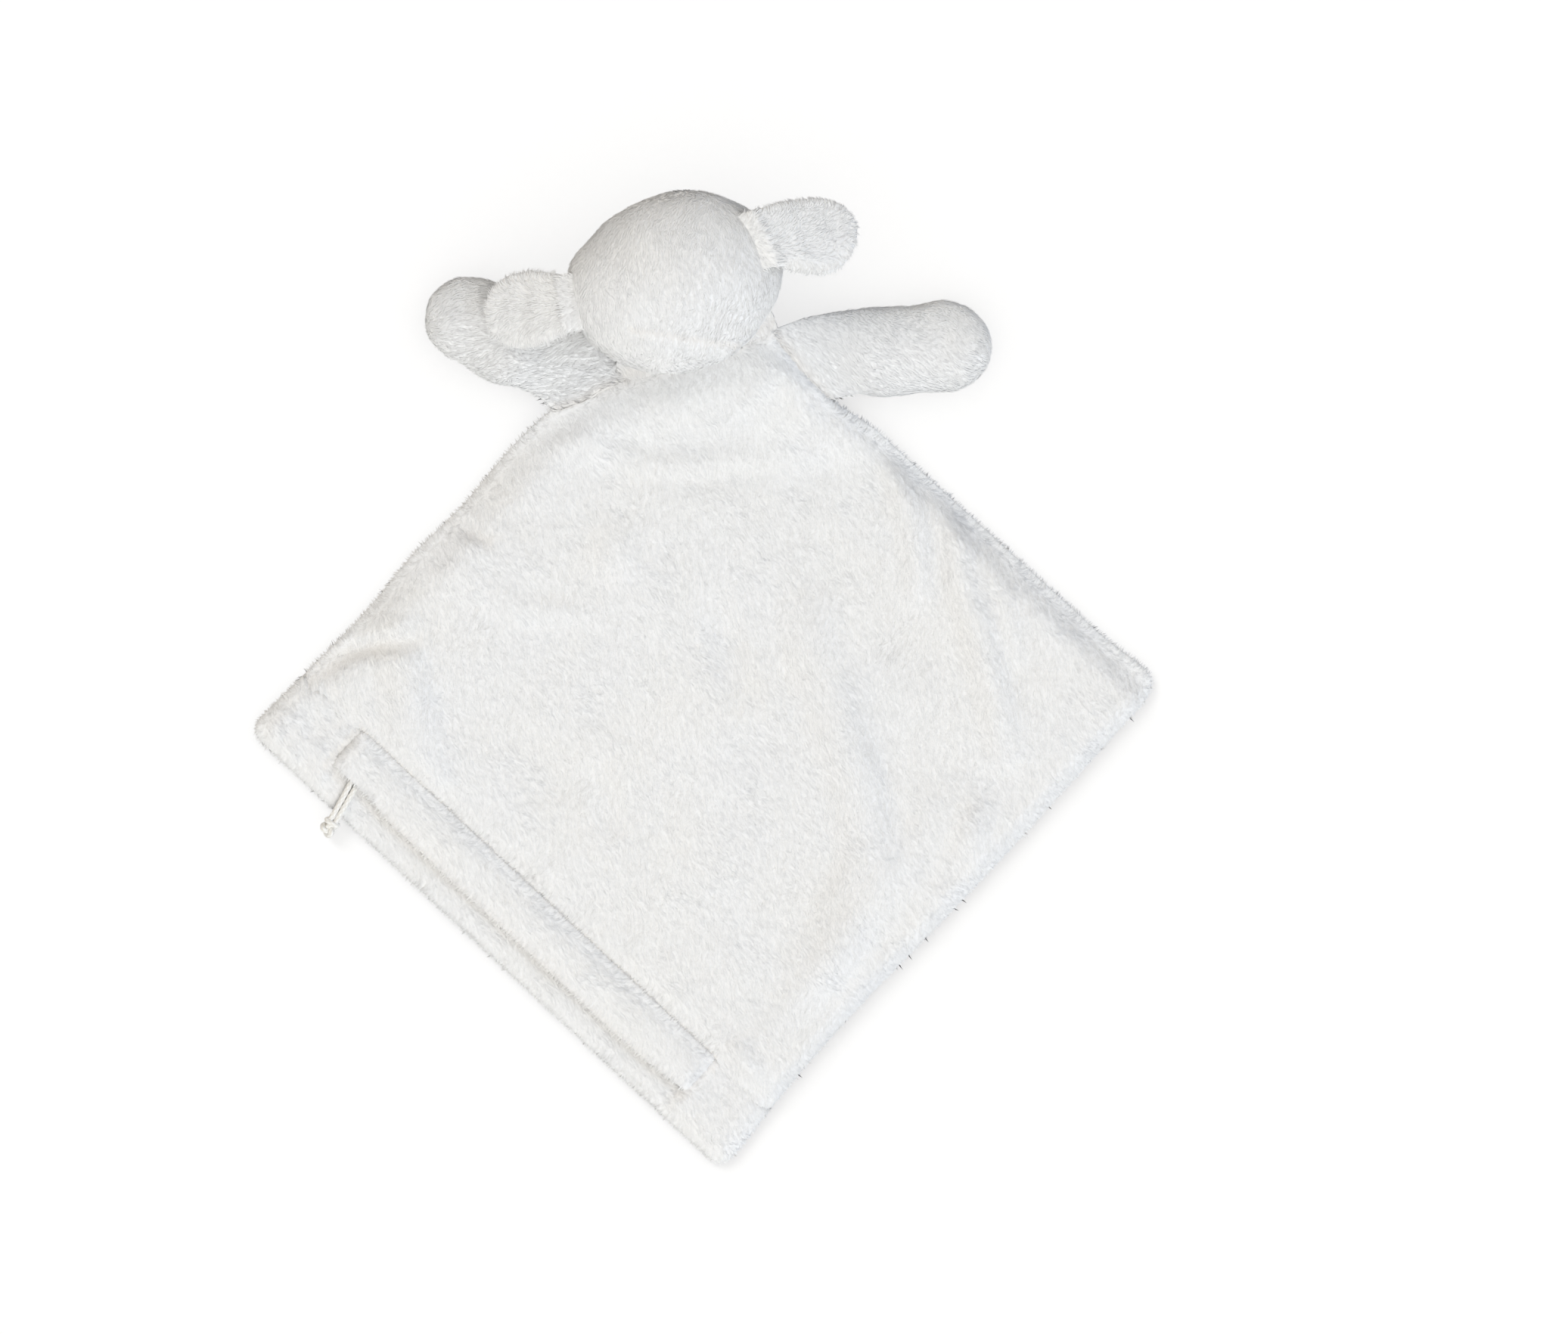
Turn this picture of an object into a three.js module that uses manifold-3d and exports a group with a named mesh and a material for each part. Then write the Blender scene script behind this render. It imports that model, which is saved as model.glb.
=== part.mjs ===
// Comfort blanket with a stuffed animal head and two stuffed arms, lying face down.
// Millimetres, +Z up. The origin is the centre of the blanket's flat underside, +Y points
// from the blanket to the head, and +X is to the right seen from above.

import * as THREE from "three";
import { mergeVertices } from "three/addons/utils/BufferGeometryUtils.js";
import Module from "manifold-3d";

const wasm = await Module();
wasm.setup();

// Cloth and clearances
const plushThick = 2.8; // one layer of plush, pile pressed down
const seamGap = 0.3; // clearance between neighbours that are sewn or lie on each other
const overrun = 5; // how far a cutter reaches past what it cuts
const cellSize = 15; // spacing of the points that carry the cloth's folds
const earCell = 9;
const flapCell = [6, 4]; // along and across the flap

// Blanket
const blanketSide = 330;

// Outline of the blanket: along the lower left side and in from it, as shares of the blanket's
// side, with the length of the curve where two stretches meet as a third share
const lowerOutlineShares = [
  [0.003, 0.003, 0.055],
  [1, 0, 0.036],
  [0.978, 0.24, 0.15],
  [0.988, 0.6, 0.15],
  [0.98, 1.014, 0.058],
  [0.88, 1.003, 0.03],
];
const upperLeftShares = [
  [0, 0.61, 0.05],
  [0.009, 0.48, 0.05],
  [0.001, 0.37, 0.05],
  [0.011, 0.27, 0.05],
];
const pillowRise = 6; // how far the back layer stands off the front layer
const foldRise = 5; // height of a full fold
const edgeRoll = 26; // width over which the back layer comes down to an outer seam
const seamRoll = 9; // the same beside the zip
const neckRoll = 22; // and at the neck

// Climb of the blanket from the table to the neck
const creaseDistance = 131.6;
const creaseLean = THREE.MathUtils.degToRad(-5.8);
const creaseSoftness = 12;
const neckDistance = 182.4;
const neckShift = 3.6;
const neckWidth = 79;
const neckTilt = THREE.MathUtils.degToRad(16.9);
const neckHeight = 16.5;
const gatherWidth = 9;
const gatherRipple = 1.2;
const gatherPitch = 7;

// Folds of the back layer: each runs between two points, given as shares of the distance from
// the blanket's centre to a corner, with its half width as such a share and its height as a
// share of a full fold. Valleys are negative.
const foldShares = [
  [0.51, 0.39, 0.62, -0.124, 0.055, -1.3],
  [0.405, 0.514, 0.42, 0.24, 0.045, -1],
  [0.67, 0.266, 0.73, -0.01, 0.05, -0.8],
  [0.18, 0.18, 0.197, -0.214, 0.055, -0.8],
  [0.26, 0.043, 0.418, -0.309, 0.06, -0.9],
  [-0.02, 0.36, 0.07, 0.013, 0.06, -0.7],
  [0.01, -0.67, 0.29, -0.54, 0.1, -0.9],
  [0.2, -0.5, 0.33, -0.46, 0.07, 0.8],
  [-0.53, 0.45, -0.45, 0.38, 0.06, -0.9],
  [-0.815, 0.13, -0.65, 0.19, 0.06, -1.2],
  [-0.58, 0.26, -0.52, -0.017, 0.07, -0.8],
  [-0.57, 0.33, -0.35, 0.22, 0.06, 0.9],
  [-0.35, 0.22, -0.18, 0.19, 0.06, 0.8],
  [-0.25, 0.385, -0.19, 0.385, 0.09, -0.8],
];

// Head, a ball that lies on its muzzle
const headWidth = 114;
const headLength = 94;
const headDepth = 76;
const headReach = 36.1; // from the neck seam to the middle of the head
const headDrift = -9.3; // and sideways from it
const headTilt = THREE.MathUtils.degToRad(20);
const headTaperShare = 0.08; // narrowing of the head towards the neck
const muzzleWidth = 48;
const muzzleLength = 38;
const muzzleDepth = 36;
const muzzleStandOff = 10; // how far the muzzle reaches past the head
const muzzleRootShare = 0.25; // where the muzzle is cut off, as a share of the head's depth
const noseWidth = 14;
const noseLength = 9;
const noseDepth = 7;
const noseRise = 10; // from the muzzle's centre towards the crown
const noseProud = 2.2;
const eyeWidth = 8;
const eyeSpacing = 42;
const eyeRise = 14;

// Ears: leaves of two layers
const earLength = 54;
const earWidth = 40;
const earCurl = 9;
const earCup = 3;
const earWidenShare = 0.5; // share of the length over which a leaf widens from its root
const ears = {
  left: {
    rootWidth: 30,
    bearing: THREE.MathUtils.degToRad(167),
    height: THREE.MathUtils.degToRad(24),
    heading: THREE.MathUtils.degToRad(188),
    droop: THREE.MathUtils.degToRad(43),
    leanShare: 0, // sideways drift of the leaf as a share of its length
    slantShare: 0, // how much further one edge of the leaf reaches than the other
  },
  right: {
    rootWidth: 31,
    bearing: THREE.MathUtils.degToRad(9),
    height: THREE.MathUtils.degToRad(41.7),
    heading: THREE.MathUtils.degToRad(19),
    droop: THREE.MathUtils.degToRad(35),
    leanShare: -0.33,
    slantShare: 0.56,
  },
};

// Arms: stuffed tubes sewn into the blanket's edge
const armWidth = 49;
const armThick = 30;
const armRootThick = 6.4;
const armWidenShare = 0.6;
const armThickenShare = 0.5;
const armSolidShare = 0.16; // sewn-together part of the arm at its root
const arms = {
  left: {
    length: 91,
    rootWidth: 38.3,
    rootHeading: THREE.MathUtils.degToRad(198.4),
    heading: THREE.MathUtils.degToRad(148.3),
  },
  right: {
    length: 95,
    rootWidth: 46.8,
    rootHeading: THREE.MathUtils.degToRad(-52.3),
    heading: THREE.MathUtils.degToRad(3),
  },
};

// Places along an ear or an arm where its outline bends
const leafShares = [0, 0.07, 0.15, 0.25, 0.37, 0.5, 0.63, 0.75, 0.84, 0.91, 0.96, 0.99];

// Zip, measured along the blanket's lower left side from the left corner, and in from that side
const seamLine = 40.7; // seam between the back layer and the flap
const zipLine = 27;
const flapStart = 42;
const flapEnd = 290;
const flapEdge = 16.5; // free edge of the flap
const flapRun = 8;
const flapEndRun = 7;
const windowInset = 4; // how far the flap's ends lie on the hem strip
const hemEdge = 21.5; // inner edge of the hem strip
const lipThick = 1; // hem cloth above the tape
const tapeThick = 0.5;
const tapeOverlap = 8.5; // tape under the hem strip
const tapeInset = 1;
const toothPitch = 3.6;
const toothWidth = 1.4;
const toothThick = 1.3;
const toothReach = 0.5; // past the zip's centre line
const beadNear = 1.4;
const beadFar = 2.2;
const rowSpread = 1.8; // each row's shift where the slider parts the rows
const rowMergeRun = 6;
const rowMergeLead = 2; // how far before the slider's centre the rows start to meet
const stopLength = 2.1;
const bottomStopLength = 3;
const sliderLength = 13;
const sliderWidth = 10;
const sliderTail = 7.8;
const sliderPlate = 0.6;
const flangeWall = 0.7;
const flangeDepth = 0.4;
const wedgeLength = 4;
const wedgeWidth = 2;
const legRadius = 0.75;
const legSpacing = 8;
const barThick = 0.6;
const sliderStart = 60.5; // slider's centre with the zip closed
const cornerSoft = 2;

// Pull cord: one cord doubled round the slider's bail, its ends in one knot
const cordThick = 2.6;
const cordSides = 8;
const cordSteps = 50;
const knotDistance = 36.3; // from the bail's leg
const knotWidth = 8.7;
const knotHeight = 5.2;
const knotEntry = 32.5;
const knotStrandShare = 0.58; // radius of the knot's strands as a share of the cord
const knotCoreShare = 0.8;
const knotLean = THREE.MathUtils.degToRad(36);
const pullHeading = THREE.MathUtils.degToRad(-76.6);
const cordRoute = [
  [32.2, 1.45],
  [29, 1.45],
  [26, 1.45],
  [22, 1.5],
  [18, 1.55],
  [14, 1.7],
  [10, 1.95],
  [6, 2.2],
  [3, 2.35],
  [0, 2.35],
  [-1.66, 1.66],
  [-2.35, 0],
  [-1.66, -1.66],
  [0, -2.35],
  [3, -2.35],
  [6, -2.2],
  [10, -1.95],
  [14, -1.7],
  [18, -1.55],
  [22, -1.5],
  [26, -1.45],
  [29, -1.45],
  [32.2, -1.45],
];

// Counts
const curveSteps = 6;
const ballTurns = 28;
const ballRings = 16;
const innerTurns = 20;
const innerRings = 12;
const muzzleTurns = 16;
const muzzleRings = 10;
const armSides = 12;
const slitSteps = 24;
const smallTurns = 12;
const smallRings = 6;

// Sizes that follow from those above
const cornerReach = blanketSide / Math.SQRT2;
const climbSlope = neckHeight / (neckDistance - creaseDistance);
const frontTop = plushThick;
const secondLayer = frontTop + seamGap;
const backTop = secondLayer + plushThick;
const sliderBottom = secondLayer;
const cavityBottom = sliderBottom + sliderPlate;
const chainMiddle = cavityBottom + seamGap + toothThick / 2;
const cavityTop = chainMiddle + toothThick / 2 + seamGap;
const sliderTop = cavityTop + sliderPlate;
const hemLipBottom = chainMiddle + tapeThick / 2 + seamGap;
const hemTop = hemLipBottom + lipThick;
const cordMiddle = Math.max(hemTop, sliderTop) + seamGap + cordThick / 2;
const barBottom = cordMiddle + cordThick / 2 + seamGap;
const barTop = barBottom + barThick;
const flapSeat = hemTop + seamGap;
const flapCrown = barTop + seamGap;
const flapCordClear = cordMiddle + cordThick / 2 + seamGap;
const windowStart = flapStart + windowInset;
const windowEnd = flapEnd - windowInset;
const sliderNose = sliderStart - sliderLength / 2;
const topStopEnd = sliderNose - seamGap;
const topStopStart = topStopEnd - stopLength;
const rowStart = topStopEnd + seamGap;
const bottomStopEnd = windowEnd - tapeInset;
const bottomStopStart = bottomStopEnd - bottomStopLength;
const rowEnd = bottomStopStart - seamGap;
const pullPivot = sliderStart - legSpacing / 2;
const headDistance = neckDistance + headReach;
const headShift = neckShift + headDrift;
const headCentreHeight = headDepth / 2 + muzzleStandOff;
const headCentre = new THREE.Vector3(headShift, headDistance, headCentreHeight);
const armMiddle = armThick / 2;
const up = new THREE.Vector3(0, 0, 1);

// Finishes
const plush = { color: "#ebeae6", roughness: 0.95, metalness: 0 };
const innerPlush = { color: "#e4e2dd", roughness: 0.95, metalness: 0 };
const filling = { color: "#f4f3f0", roughness: 1, metalness: 0 };
const tapeWeave = { color: "#e6e4de", roughness: 0.85, metalness: 0 };
const nylon = { color: "#dfddd6", roughness: 0.4, metalness: 0 };
const nickel = { color: "#b9babc", roughness: 0.3, metalness: 1 };
const braid = { color: "#e2dfd6", roughness: 0.8, metalness: 0 };
const thread = { color: "#4a4038", roughness: 0.6, metalness: 0 };

// Solids

function solidOf(geometry) {
  const bare = geometry.index ? geometry.toNonIndexed() : geometry.clone();
  bare.deleteAttribute("normal");
  bare.deleteAttribute("uv");
  const merged = mergeVertices(bare);
  return new wasm.Manifold(
    new wasm.Mesh({
      numProp: 3,
      vertProperties: merged.attributes.position.array,
      triVerts: new Uint32Array(merged.index.array),
    }),
  );
}

function meshOf(name, solid, finish) {
  const { vertProperties, triVerts } = solid.getMesh();
  const geometry = new THREE.BufferGeometry();
  geometry.setAttribute("position", new THREE.BufferAttribute(vertProperties, 3));
  geometry.setIndex(new THREE.BufferAttribute(triVerts, 1));
  geometry.computeVertexNormals();
  const mesh = new THREE.Mesh(geometry, new THREE.MeshStandardMaterial(finish));
  mesh.name = name;
  return mesh;
}

function extruded(shape, low, high) {
  const geometry = new THREE.ExtrudeGeometry(shape, {
    depth: high - low,
    bevelEnabled: false,
    curveSegments: curveSteps,
  });
  return solidOf(geometry.translate(0, 0, low));
}

// A shape through corners of [x, y, length of the corner's curve].
function rounded(corners) {
  const shape = new THREE.Shape();
  const count = corners.length;
  const place = ([x, y]) => new THREE.Vector2(x, y);
  corners.forEach((corner, i) => {
    const here = place(corner);
    const round = corner[2] ?? 0;
    const last = place(corners[(i + count - 1) % count]).sub(here).setLength(round);
    const next = place(corners[(i + 1) % count]).sub(here).setLength(round);
    const start = here.clone().add(last);
    if (i === 0) shape.moveTo(start.x, start.y);
    else shape.lineTo(start.x, start.y);
    if (round > 0) shape.quadraticCurveTo(here.x, here.y, here.x + next.x, here.y + next.y);
  });
  shape.closePath();
  return shape;
}

function rectangle(left, low, right, high, round = 0) {
  return rounded([
    [left, low, round],
    [right, low, round],
    [right, high, round],
    [left, high, round],
  ]);
}

// A sheet of cloth over a flat outline, between two height functions.
function draped(shape, over, under, [cellX, cellY]) {
  const box = new THREE.Box2().setFromPoints(shape.getPoints(curveSteps));
  box.expandByVector(new THREE.Vector2(cellX, cellY).divideScalar(2));
  const size = box.getSize(new THREE.Vector2());
  const middle = box.getCenter(new THREE.Vector2());
  const columns = Math.round(size.x / cellX);
  const rows = Math.round(size.y / cellY);
  const slab = new THREE.BoxGeometry(size.x, size.y, 1, columns, rows, 1);
  slab.translate(middle.x, middle.y, 0);
  const places = slab.attributes.position;
  let lowest = Infinity;
  let highest = -Infinity;
  for (let i = 0; i < places.count; i++) {
    const x = places.getX(i);
    const y = places.getY(i);
    const z = places.getZ(i) > 0 ? over(x, y) : under(x, y);
    places.setZ(i, z);
    lowest = Math.min(lowest, z);
    highest = Math.max(highest, z);
  }
  return solidOf(slab).intersect(extruded(shape, lowest - overrun, highest + overrun));
}

// A closed body through rings of points, each ring running anticlockwise seen from the last one.
function lofted(rings) {
  const sides = rings[0].length;
  const points = rings.flat();
  const middles = [rings[0], rings.at(-1)].map((ring) =>
    ring.reduce((sum, p) => sum.add(p), new THREE.Vector3()).divideScalar(sides),
  );
  const first = points.length;
  points.push(...middles);
  const index = [];
  for (let r = 1; r < rings.length; r++) {
    for (let k = 0; k < sides; k++) {
      const a = (r - 1) * sides + k;
      const b = (r - 1) * sides + ((k + 1) % sides);
      index.push(a, b, b + sides, a, b + sides, a + sides);
    }
  }
  const base = (rings.length - 1) * sides;
  for (let k = 0; k < sides; k++) {
    const next = (k + 1) % sides;
    index.push(first, next, k, first + 1, base + k, base + next);
  }
  const geometry = new THREE.BufferGeometry().setFromPoints(points);
  return solidOf(geometry.setIndex(index));
}

function ball(width, length, depth, turns, rings) {
  const geometry = new THREE.SphereGeometry(1 / 2, turns, rings).rotateX(Math.PI / 2);
  return geometry.scale(width, length, depth);
}

// Blanket: along is the distance from the left corner along the lower left side, and inward
// the distance from that side

const blanketPlace = new THREE.Matrix4()
  .makeTranslation(-cornerReach, 0, 0)
  .multiply(new THREE.Matrix4().makeRotationZ(-Math.PI / 4));

function toBlanket(x, y) {
  return [(x + cornerReach - y) / Math.SQRT2, (x + cornerReach + y) / Math.SQRT2];
}

function toPlan(along, inward) {
  return [(along + inward) / Math.SQRT2 - cornerReach, (inward - along) / Math.SQRT2];
}

// Ends of the neck seam and of the two arm seams, in plan
function fromNeck(distance, heading, start) {
  return [start[0] + distance * Math.cos(heading), start[1] + distance * Math.sin(heading)];
}
const neckCentre = [neckShift, neckDistance];
const neckRight = fromNeck(neckWidth / 2, neckTilt, neckCentre);
const neckLeft = fromNeck(-neckWidth / 2, neckTilt, neckCentre);
const shoulderRight = fromNeck(arms.right.rootWidth, arms.right.rootHeading, neckRight);
const shoulderLeft = fromNeck(arms.left.rootWidth, arms.left.rootHeading, neckLeft);

function blanketOutline() {
  const farShoulder = toBlanket(...shoulderRight);
  const nearShoulder = toBlanket(...shoulderLeft);
  const sized = (shares) => shares.map((row) => row.map((share) => share * blanketSide));
  return rounded([
    ...sized(lowerOutlineShares),
    [farShoulder[0] + edgeRoll, blanketSide],
    farShoulder,
    toBlanket(...neckRight),
    toBlanket(...neckLeft),
    nearShoulder,
    ...sized(upperLeftShares),
  ]);
}

// Height that the cloth gains between the crease and the neck
function climb(x, y) {
  const rise = y - creaseDistance - x * Math.tan(creaseLean);
  const past = rise * Math.cos(creaseLean);
  if (past <= -creaseSoftness) return 0;
  if (past >= creaseSoftness) return climbSlope * past;
  return (climbSlope * (past + creaseSoftness) ** 2) / (4 * creaseSoftness);
}

function foldHeight(x, y) {
  let height = 0;
  for (const [x0, y0, x1, y1, halfWidth, rise] of foldShares) {
    const start = new THREE.Vector3(x0, y0, 0).multiplyScalar(cornerReach);
    const end = new THREE.Vector3(x1, y1, 0).multiplyScalar(cornerReach);
    const here = new THREE.Vector3(x, y, 0);
    const line = new THREE.Line3(start, end);
    const nearest = line.closestPointToPoint(here, true, new THREE.Vector3());
    const away = nearest.distanceTo(here) / (halfWidth * cornerReach);
    if (away < 1) height += foldRise * rise * (1 - away ** 2) ** 2;
  }
  return height;
}

function frontUnder(along, inward) {
  return climb(...toPlan(along, inward));
}

function backOver(along, inward) {
  const { smoothstep } = THREE.MathUtils;
  const outer =
    smoothstep(along, 0, edgeRoll) *
    smoothstep(blanketSide - along, 0, edgeRoll) *
    smoothstep(blanketSide - inward, 0, edgeRoll);
  const beside = smoothstep(inward - seamLine, 0, seamRoll);
  const [x, y] = toPlan(along, inward);
  const below = (neckDistance - y) * Math.cos(neckTilt) + (x - neckShift) * Math.sin(neckTilt);
  const besideNeck = smoothstep(below, 0, neckRoll);
  const puff = Math.max(0, pillowRise + foldHeight(x, y));
  return backTop + climb(x, y) + puff * outer * beside * besideNeck;
}

// The front layer is flat on the table, and climbs to the neck past the crease
function frontPanel() {
  const over = (along, inward) => frontUnder(along, inward) + plushThick;
  const climbing = draped(blanketOutline(), over, frontUnder, [cellSize, cellSize]);
  const flat = extruded(blanketOutline(), 0, plushThick);
  return flat
    .subtract(pastCrease(-creaseSoftness - cellSize))
    .add(climbing.intersect(pastCrease(-creaseSoftness - 2 * cellSize)));
}

// The space past the crease line, from a distance before it, in the blanket's frame
function pastCrease(distance) {
  const reach = 2 * cornerReach;
  const shape = rectangle(-reach, distance, reach, reach);
  const place = new THREE.Matrix4()
    .copy(blanketPlace)
    .invert()
    .multiply(new THREE.Matrix4().makeTranslation(0, creaseDistance, 0))
    .multiply(new THREE.Matrix4().makeRotationZ(creaseLean));
  return extruded(shape, -overrun, headDepth).transform(place.elements);
}

function backPanel() {
  const under = (along, inward) => backOver(along, inward) - plushThick;
  const strip = rectangle(-overrun, seamLine, blanketSide + overrun, 2 * blanketSide);
  const whole = draped(blanketOutline(), backOver, under, [cellSize, cellSize]);
  return whole.intersect(extruded(strip, -overrun, headDepth));
}

function hemPanel() {
  const inner = seamLine - seamGap;
  const strip = rectangle(-overrun, -overrun, blanketSide + overrun, inner);
  const window = rectangle(windowStart, hemEdge, windowEnd, inner + overrun);
  const tapeRoom = rectangle(
    windowStart,
    hemEdge - tapeOverlap - seamGap,
    windowEnd,
    hemEdge + overrun,
  );
  return extruded(blanketOutline(), secondLayer, hemTop)
    .intersect(extruded(strip, 0, hemTop + overrun))
    .subtract(extruded(window, 0, hemTop + overrun))
    .subtract(extruded(tapeRoom, 0, hemLipBottom));
}

function neckGather() {
  const span = neckWidth - gatherWidth;
  const shape = rectangle(-span / 2, seamGap, span / 2, gatherWidth, cornerSoft);
  const toWorld = (x, y) => {
    const along = fromNeck(x, neckTilt, neckCentre);
    return fromNeck(y, neckTilt + Math.PI / 2, along);
  };
  const ripple = (x) => gatherRipple * Math.cos((2 * Math.PI * x) / gatherPitch);
  const over = (x, y) => climb(...toWorld(x, y)) + backTop + ripple(x);
  const under = (x, y) => climb(...toWorld(x, 0)) + ripple(x) + gatherRipple;
  const place = new THREE.Matrix4()
    .makeTranslation(neckShift, neckDistance, 0)
    .multiply(new THREE.Matrix4().makeRotationZ(neckTilt));
  const gather = draped(shape, over, under, [gatherPitch / 2, gatherPitch / 2]);
  return gather.transform(place.elements).subtract(headBall(seamGap));
}

// Zip

// How far a row stands off the zip's middle: fully up to the slider, then less, then not at all
function parted(along) {
  const past = (along - sliderStart + rowMergeLead) / rowMergeRun;
  return rowSpread * (1 - THREE.MathUtils.clamp(past, 0, 1));
}

// Places along the zip where the edge of a tape or a row bends
function bends(start, end) {
  const from = sliderStart - rowMergeLead;
  return [start, from, from + rowMergeRun, end];
}

// side is 1 for the row nearer the blanket's middle and -1 for the one nearer its edge
function tape(side) {
  const start = windowStart + tapeInset;
  const end = windowEnd - tapeInset;
  const outer = side > 0 ? seamLine - seamGap : hemEdge - tapeOverlap;
  const near = (along) => zipLine + side * (beadFar + seamGap + parted(along));
  const edge = bends(start, end).map((along) => [along, near(along)]);
  const shape = rounded([...edge, [end, outer], [start, outer]]);
  return extruded(shape, chainMiddle - tapeThick / 2, chainMiddle + tapeThick / 2);
}

function teeth(side) {
  const offset = (along, out) => zipLine + side * (out + parted(along));
  const back = bends(rowStart, rowEnd).map((along) => [along, offset(along, beadFar)]);
  const comb = [[rowEnd, offset(rowEnd, beadNear)]];
  const first = rowStart + toothWidth + (side > 0 ? 0 : toothPitch / 2);
  const count = Math.floor((rowEnd - first - toothWidth) / toothPitch) + 1;
  for (let tooth = count - 1; tooth >= 0; tooth--) {
    const middle = first + tooth * toothPitch;
    const left = middle - toothWidth / 2;
    const right = middle + toothWidth / 2;
    comb.push([right, offset(middle, beadNear)], [right, offset(middle, -toothReach)]);
    comb.push([left, offset(middle, -toothReach)], [left, offset(middle, beadNear)]);
  }
  comb.push([rowStart, offset(rowStart, beadNear)]);
  const shape = rounded([...back, ...comb]);
  return extruded(shape, chainMiddle - toothThick / 2, chainMiddle + toothThick / 2);
}

function topStop(side) {
  const near = zipLine + side * beadNear;
  const far = zipLine + side * (beadFar + rowSpread);
  const shape = rectangle(topStopStart, Math.min(near, far), topStopEnd, Math.max(near, far));
  return extruded(shape, cavityBottom, cavityTop);
}

function bottomStop() {
  const half = beadFar;
  const shape = rectangle(bottomStopStart, zipLine - half, bottomStopEnd, zipLine + half);
  return extruded(shape, cavityBottom, cavityTop);
}

function zipFlap() {
  const root = seamLine - seamGap;
  const lift = flapCrown - flapSeat;
  const edgeShare = (flapCrown - flapCordClear) / lift;
  const under = (along, inward) => {
    const { smoothstep } = THREE.MathUtils;
    const ends =
      smoothstep(along - flapStart, 0, flapEndRun) * smoothstep(flapEnd - along, 0, flapEndRun);
    const rise = smoothstep(root - inward, 0, flapRun);
    const fall = 1 - edgeShare * smoothstep(zipLine - inward, 0, zipLine - flapEdge);
    return flapSeat + lift * ends * rise * fall;
  };
  const over = (along, inward) => under(along, inward) + plushThick;
  const shape = rectangle(flapStart, flapEdge, flapEnd, root, cornerSoft);
  return draped(shape, over, under, flapCell);
}

// Slider: two plates joined by a wedge, with side lips that hold the rows and an arched bail
function sliderOutline(grow, lengthen) {
  const nose = sliderWidth / 2 + grow;
  const tail = sliderTail / 2 + grow;
  const half = sliderLength / 2 + lengthen;
  const round = lengthen > 0 ? 0 : cornerSoft;
  return rounded([
    [-half, -nose, round],
    [0, -nose],
    [half, -tail, round],
    [half, tail, round],
    [0, nose],
    [-half, nose, round],
  ]);
}

function zipSlider() {
  const outline = sliderOutline(0, 0);
  const inner = sliderOutline(-flangeWall, overrun);
  const slotLow = cavityBottom + flangeDepth;
  const slotHigh = cavityTop - flangeDepth;
  const slot = rectangle(-sliderLength, -sliderWidth, sliderLength, sliderWidth);
  const lips = extruded(outline, sliderBottom, sliderTop)
    .subtract(extruded(inner, cavityBottom, cavityTop))
    .subtract(extruded(slot, slotLow, slotHigh));
  const wedgeMiddle = -sliderLength / 2 + wedgeLength / 2 + seamGap;
  const wedge = rounded([
    [wedgeMiddle - wedgeLength / 2, 0],
    [wedgeMiddle, -wedgeWidth / 2],
    [wedgeMiddle + wedgeLength / 2, 0],
    [wedgeMiddle, wedgeWidth / 2],
  ]);
  const legTurn = new THREE.Shape().absarc(-legSpacing / 2, 0, legRadius, 0, 2 * Math.PI);
  const frontLeg = extruded(legTurn, cavityTop, barTop);
  const rearMiddle = legSpacing / 2;
  const rearLeg = extruded(
    rectangle(rearMiddle - legRadius, -legRadius, rearMiddle + legRadius, legRadius),
    cavityTop,
    barTop,
  );
  const bar = extruded(
    rectangle(-legSpacing / 2, -legRadius, rearMiddle, legRadius),
    barBottom,
    barTop,
  );
  return lips
    .add(extruded(wedge, sliderBottom, sliderTop))
    .add(frontLeg)
    .add(rearLeg)
    .add(bar);
}

// Pull cord and knot, in a frame at the bail's front leg with +X along the cord

function pullCord() {
  const path = new THREE.CatmullRomCurve3(
    cordRoute.map(([x, y]) => new THREE.Vector3(x, y, cordMiddle)),
  );
  const section = new THREE.Shape();
  for (let k = 0; k < cordSides; k++) {
    const angle = (2 * Math.PI * k) / cordSides;
    const x = (cordThick / 2) * Math.cos(angle);
    const y = (cordThick / 2) * Math.sin(angle);
    if (k === 0) section.moveTo(x, y);
    else section.lineTo(x, y);
  }
  section.closePath();
  return solidOf(
    new THREE.ExtrudeGeometry(section, { steps: cordSteps, extrudePath: path }),
  );
}

function pullKnot() {
  const wrap = cordThick * knotStrandShare;
  const ring = knotWidth / 2 - wrap;
  const core = knotWidth * knotCoreShare;
  const coil = () => new THREE.TorusGeometry(ring, wrap, smallRings, smallTurns);
  const body = solidOf(ball(core, core, core, smallTurns, smallRings))
    .add(solidOf(coil().rotateX(knotLean)))
    .add(solidOf(coil().rotateX(Math.PI / 2 + knotLean)))
    .add(solidOf(coil().rotateY(Math.PI / 2 - knotLean)))
    .translate([knotDistance, 0, knotHeight]);
  const collar = solidOf(coil().rotateY(Math.PI / 2)).add(
    solidOf(new THREE.CylinderGeometry(ring, ring, 2 * wrap, smallTurns).rotateZ(Math.PI / 2)),
  );
  return body.add(collar.translate([knotEntry + wrap, 0, (cordMiddle + knotHeight) / 2]));
}

// Head, in a frame at the ball's centre, with +Y towards the crown and -Z the face

const headPlace = new THREE.Matrix4()
  .makeTranslation(headCentre)
  .multiply(new THREE.Matrix4().makeRotationZ(headTilt));

function headForm(grow, turns, rings) {
  const geometry = ball(
    headWidth + 2 * grow,
    headLength + 2 * grow,
    headDepth + 2 * grow,
    turns,
    rings,
  );
  const places = geometry.attributes.position;
  for (let i = 0; i < places.count; i++) {
    const towardsNeck = Math.max(0, -places.getY(i) / (headLength / 2));
    places.setX(i, places.getX(i) * (1 - headTaperShare * towardsNeck ** 2));
  }
  return solidOf(geometry);
}

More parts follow.
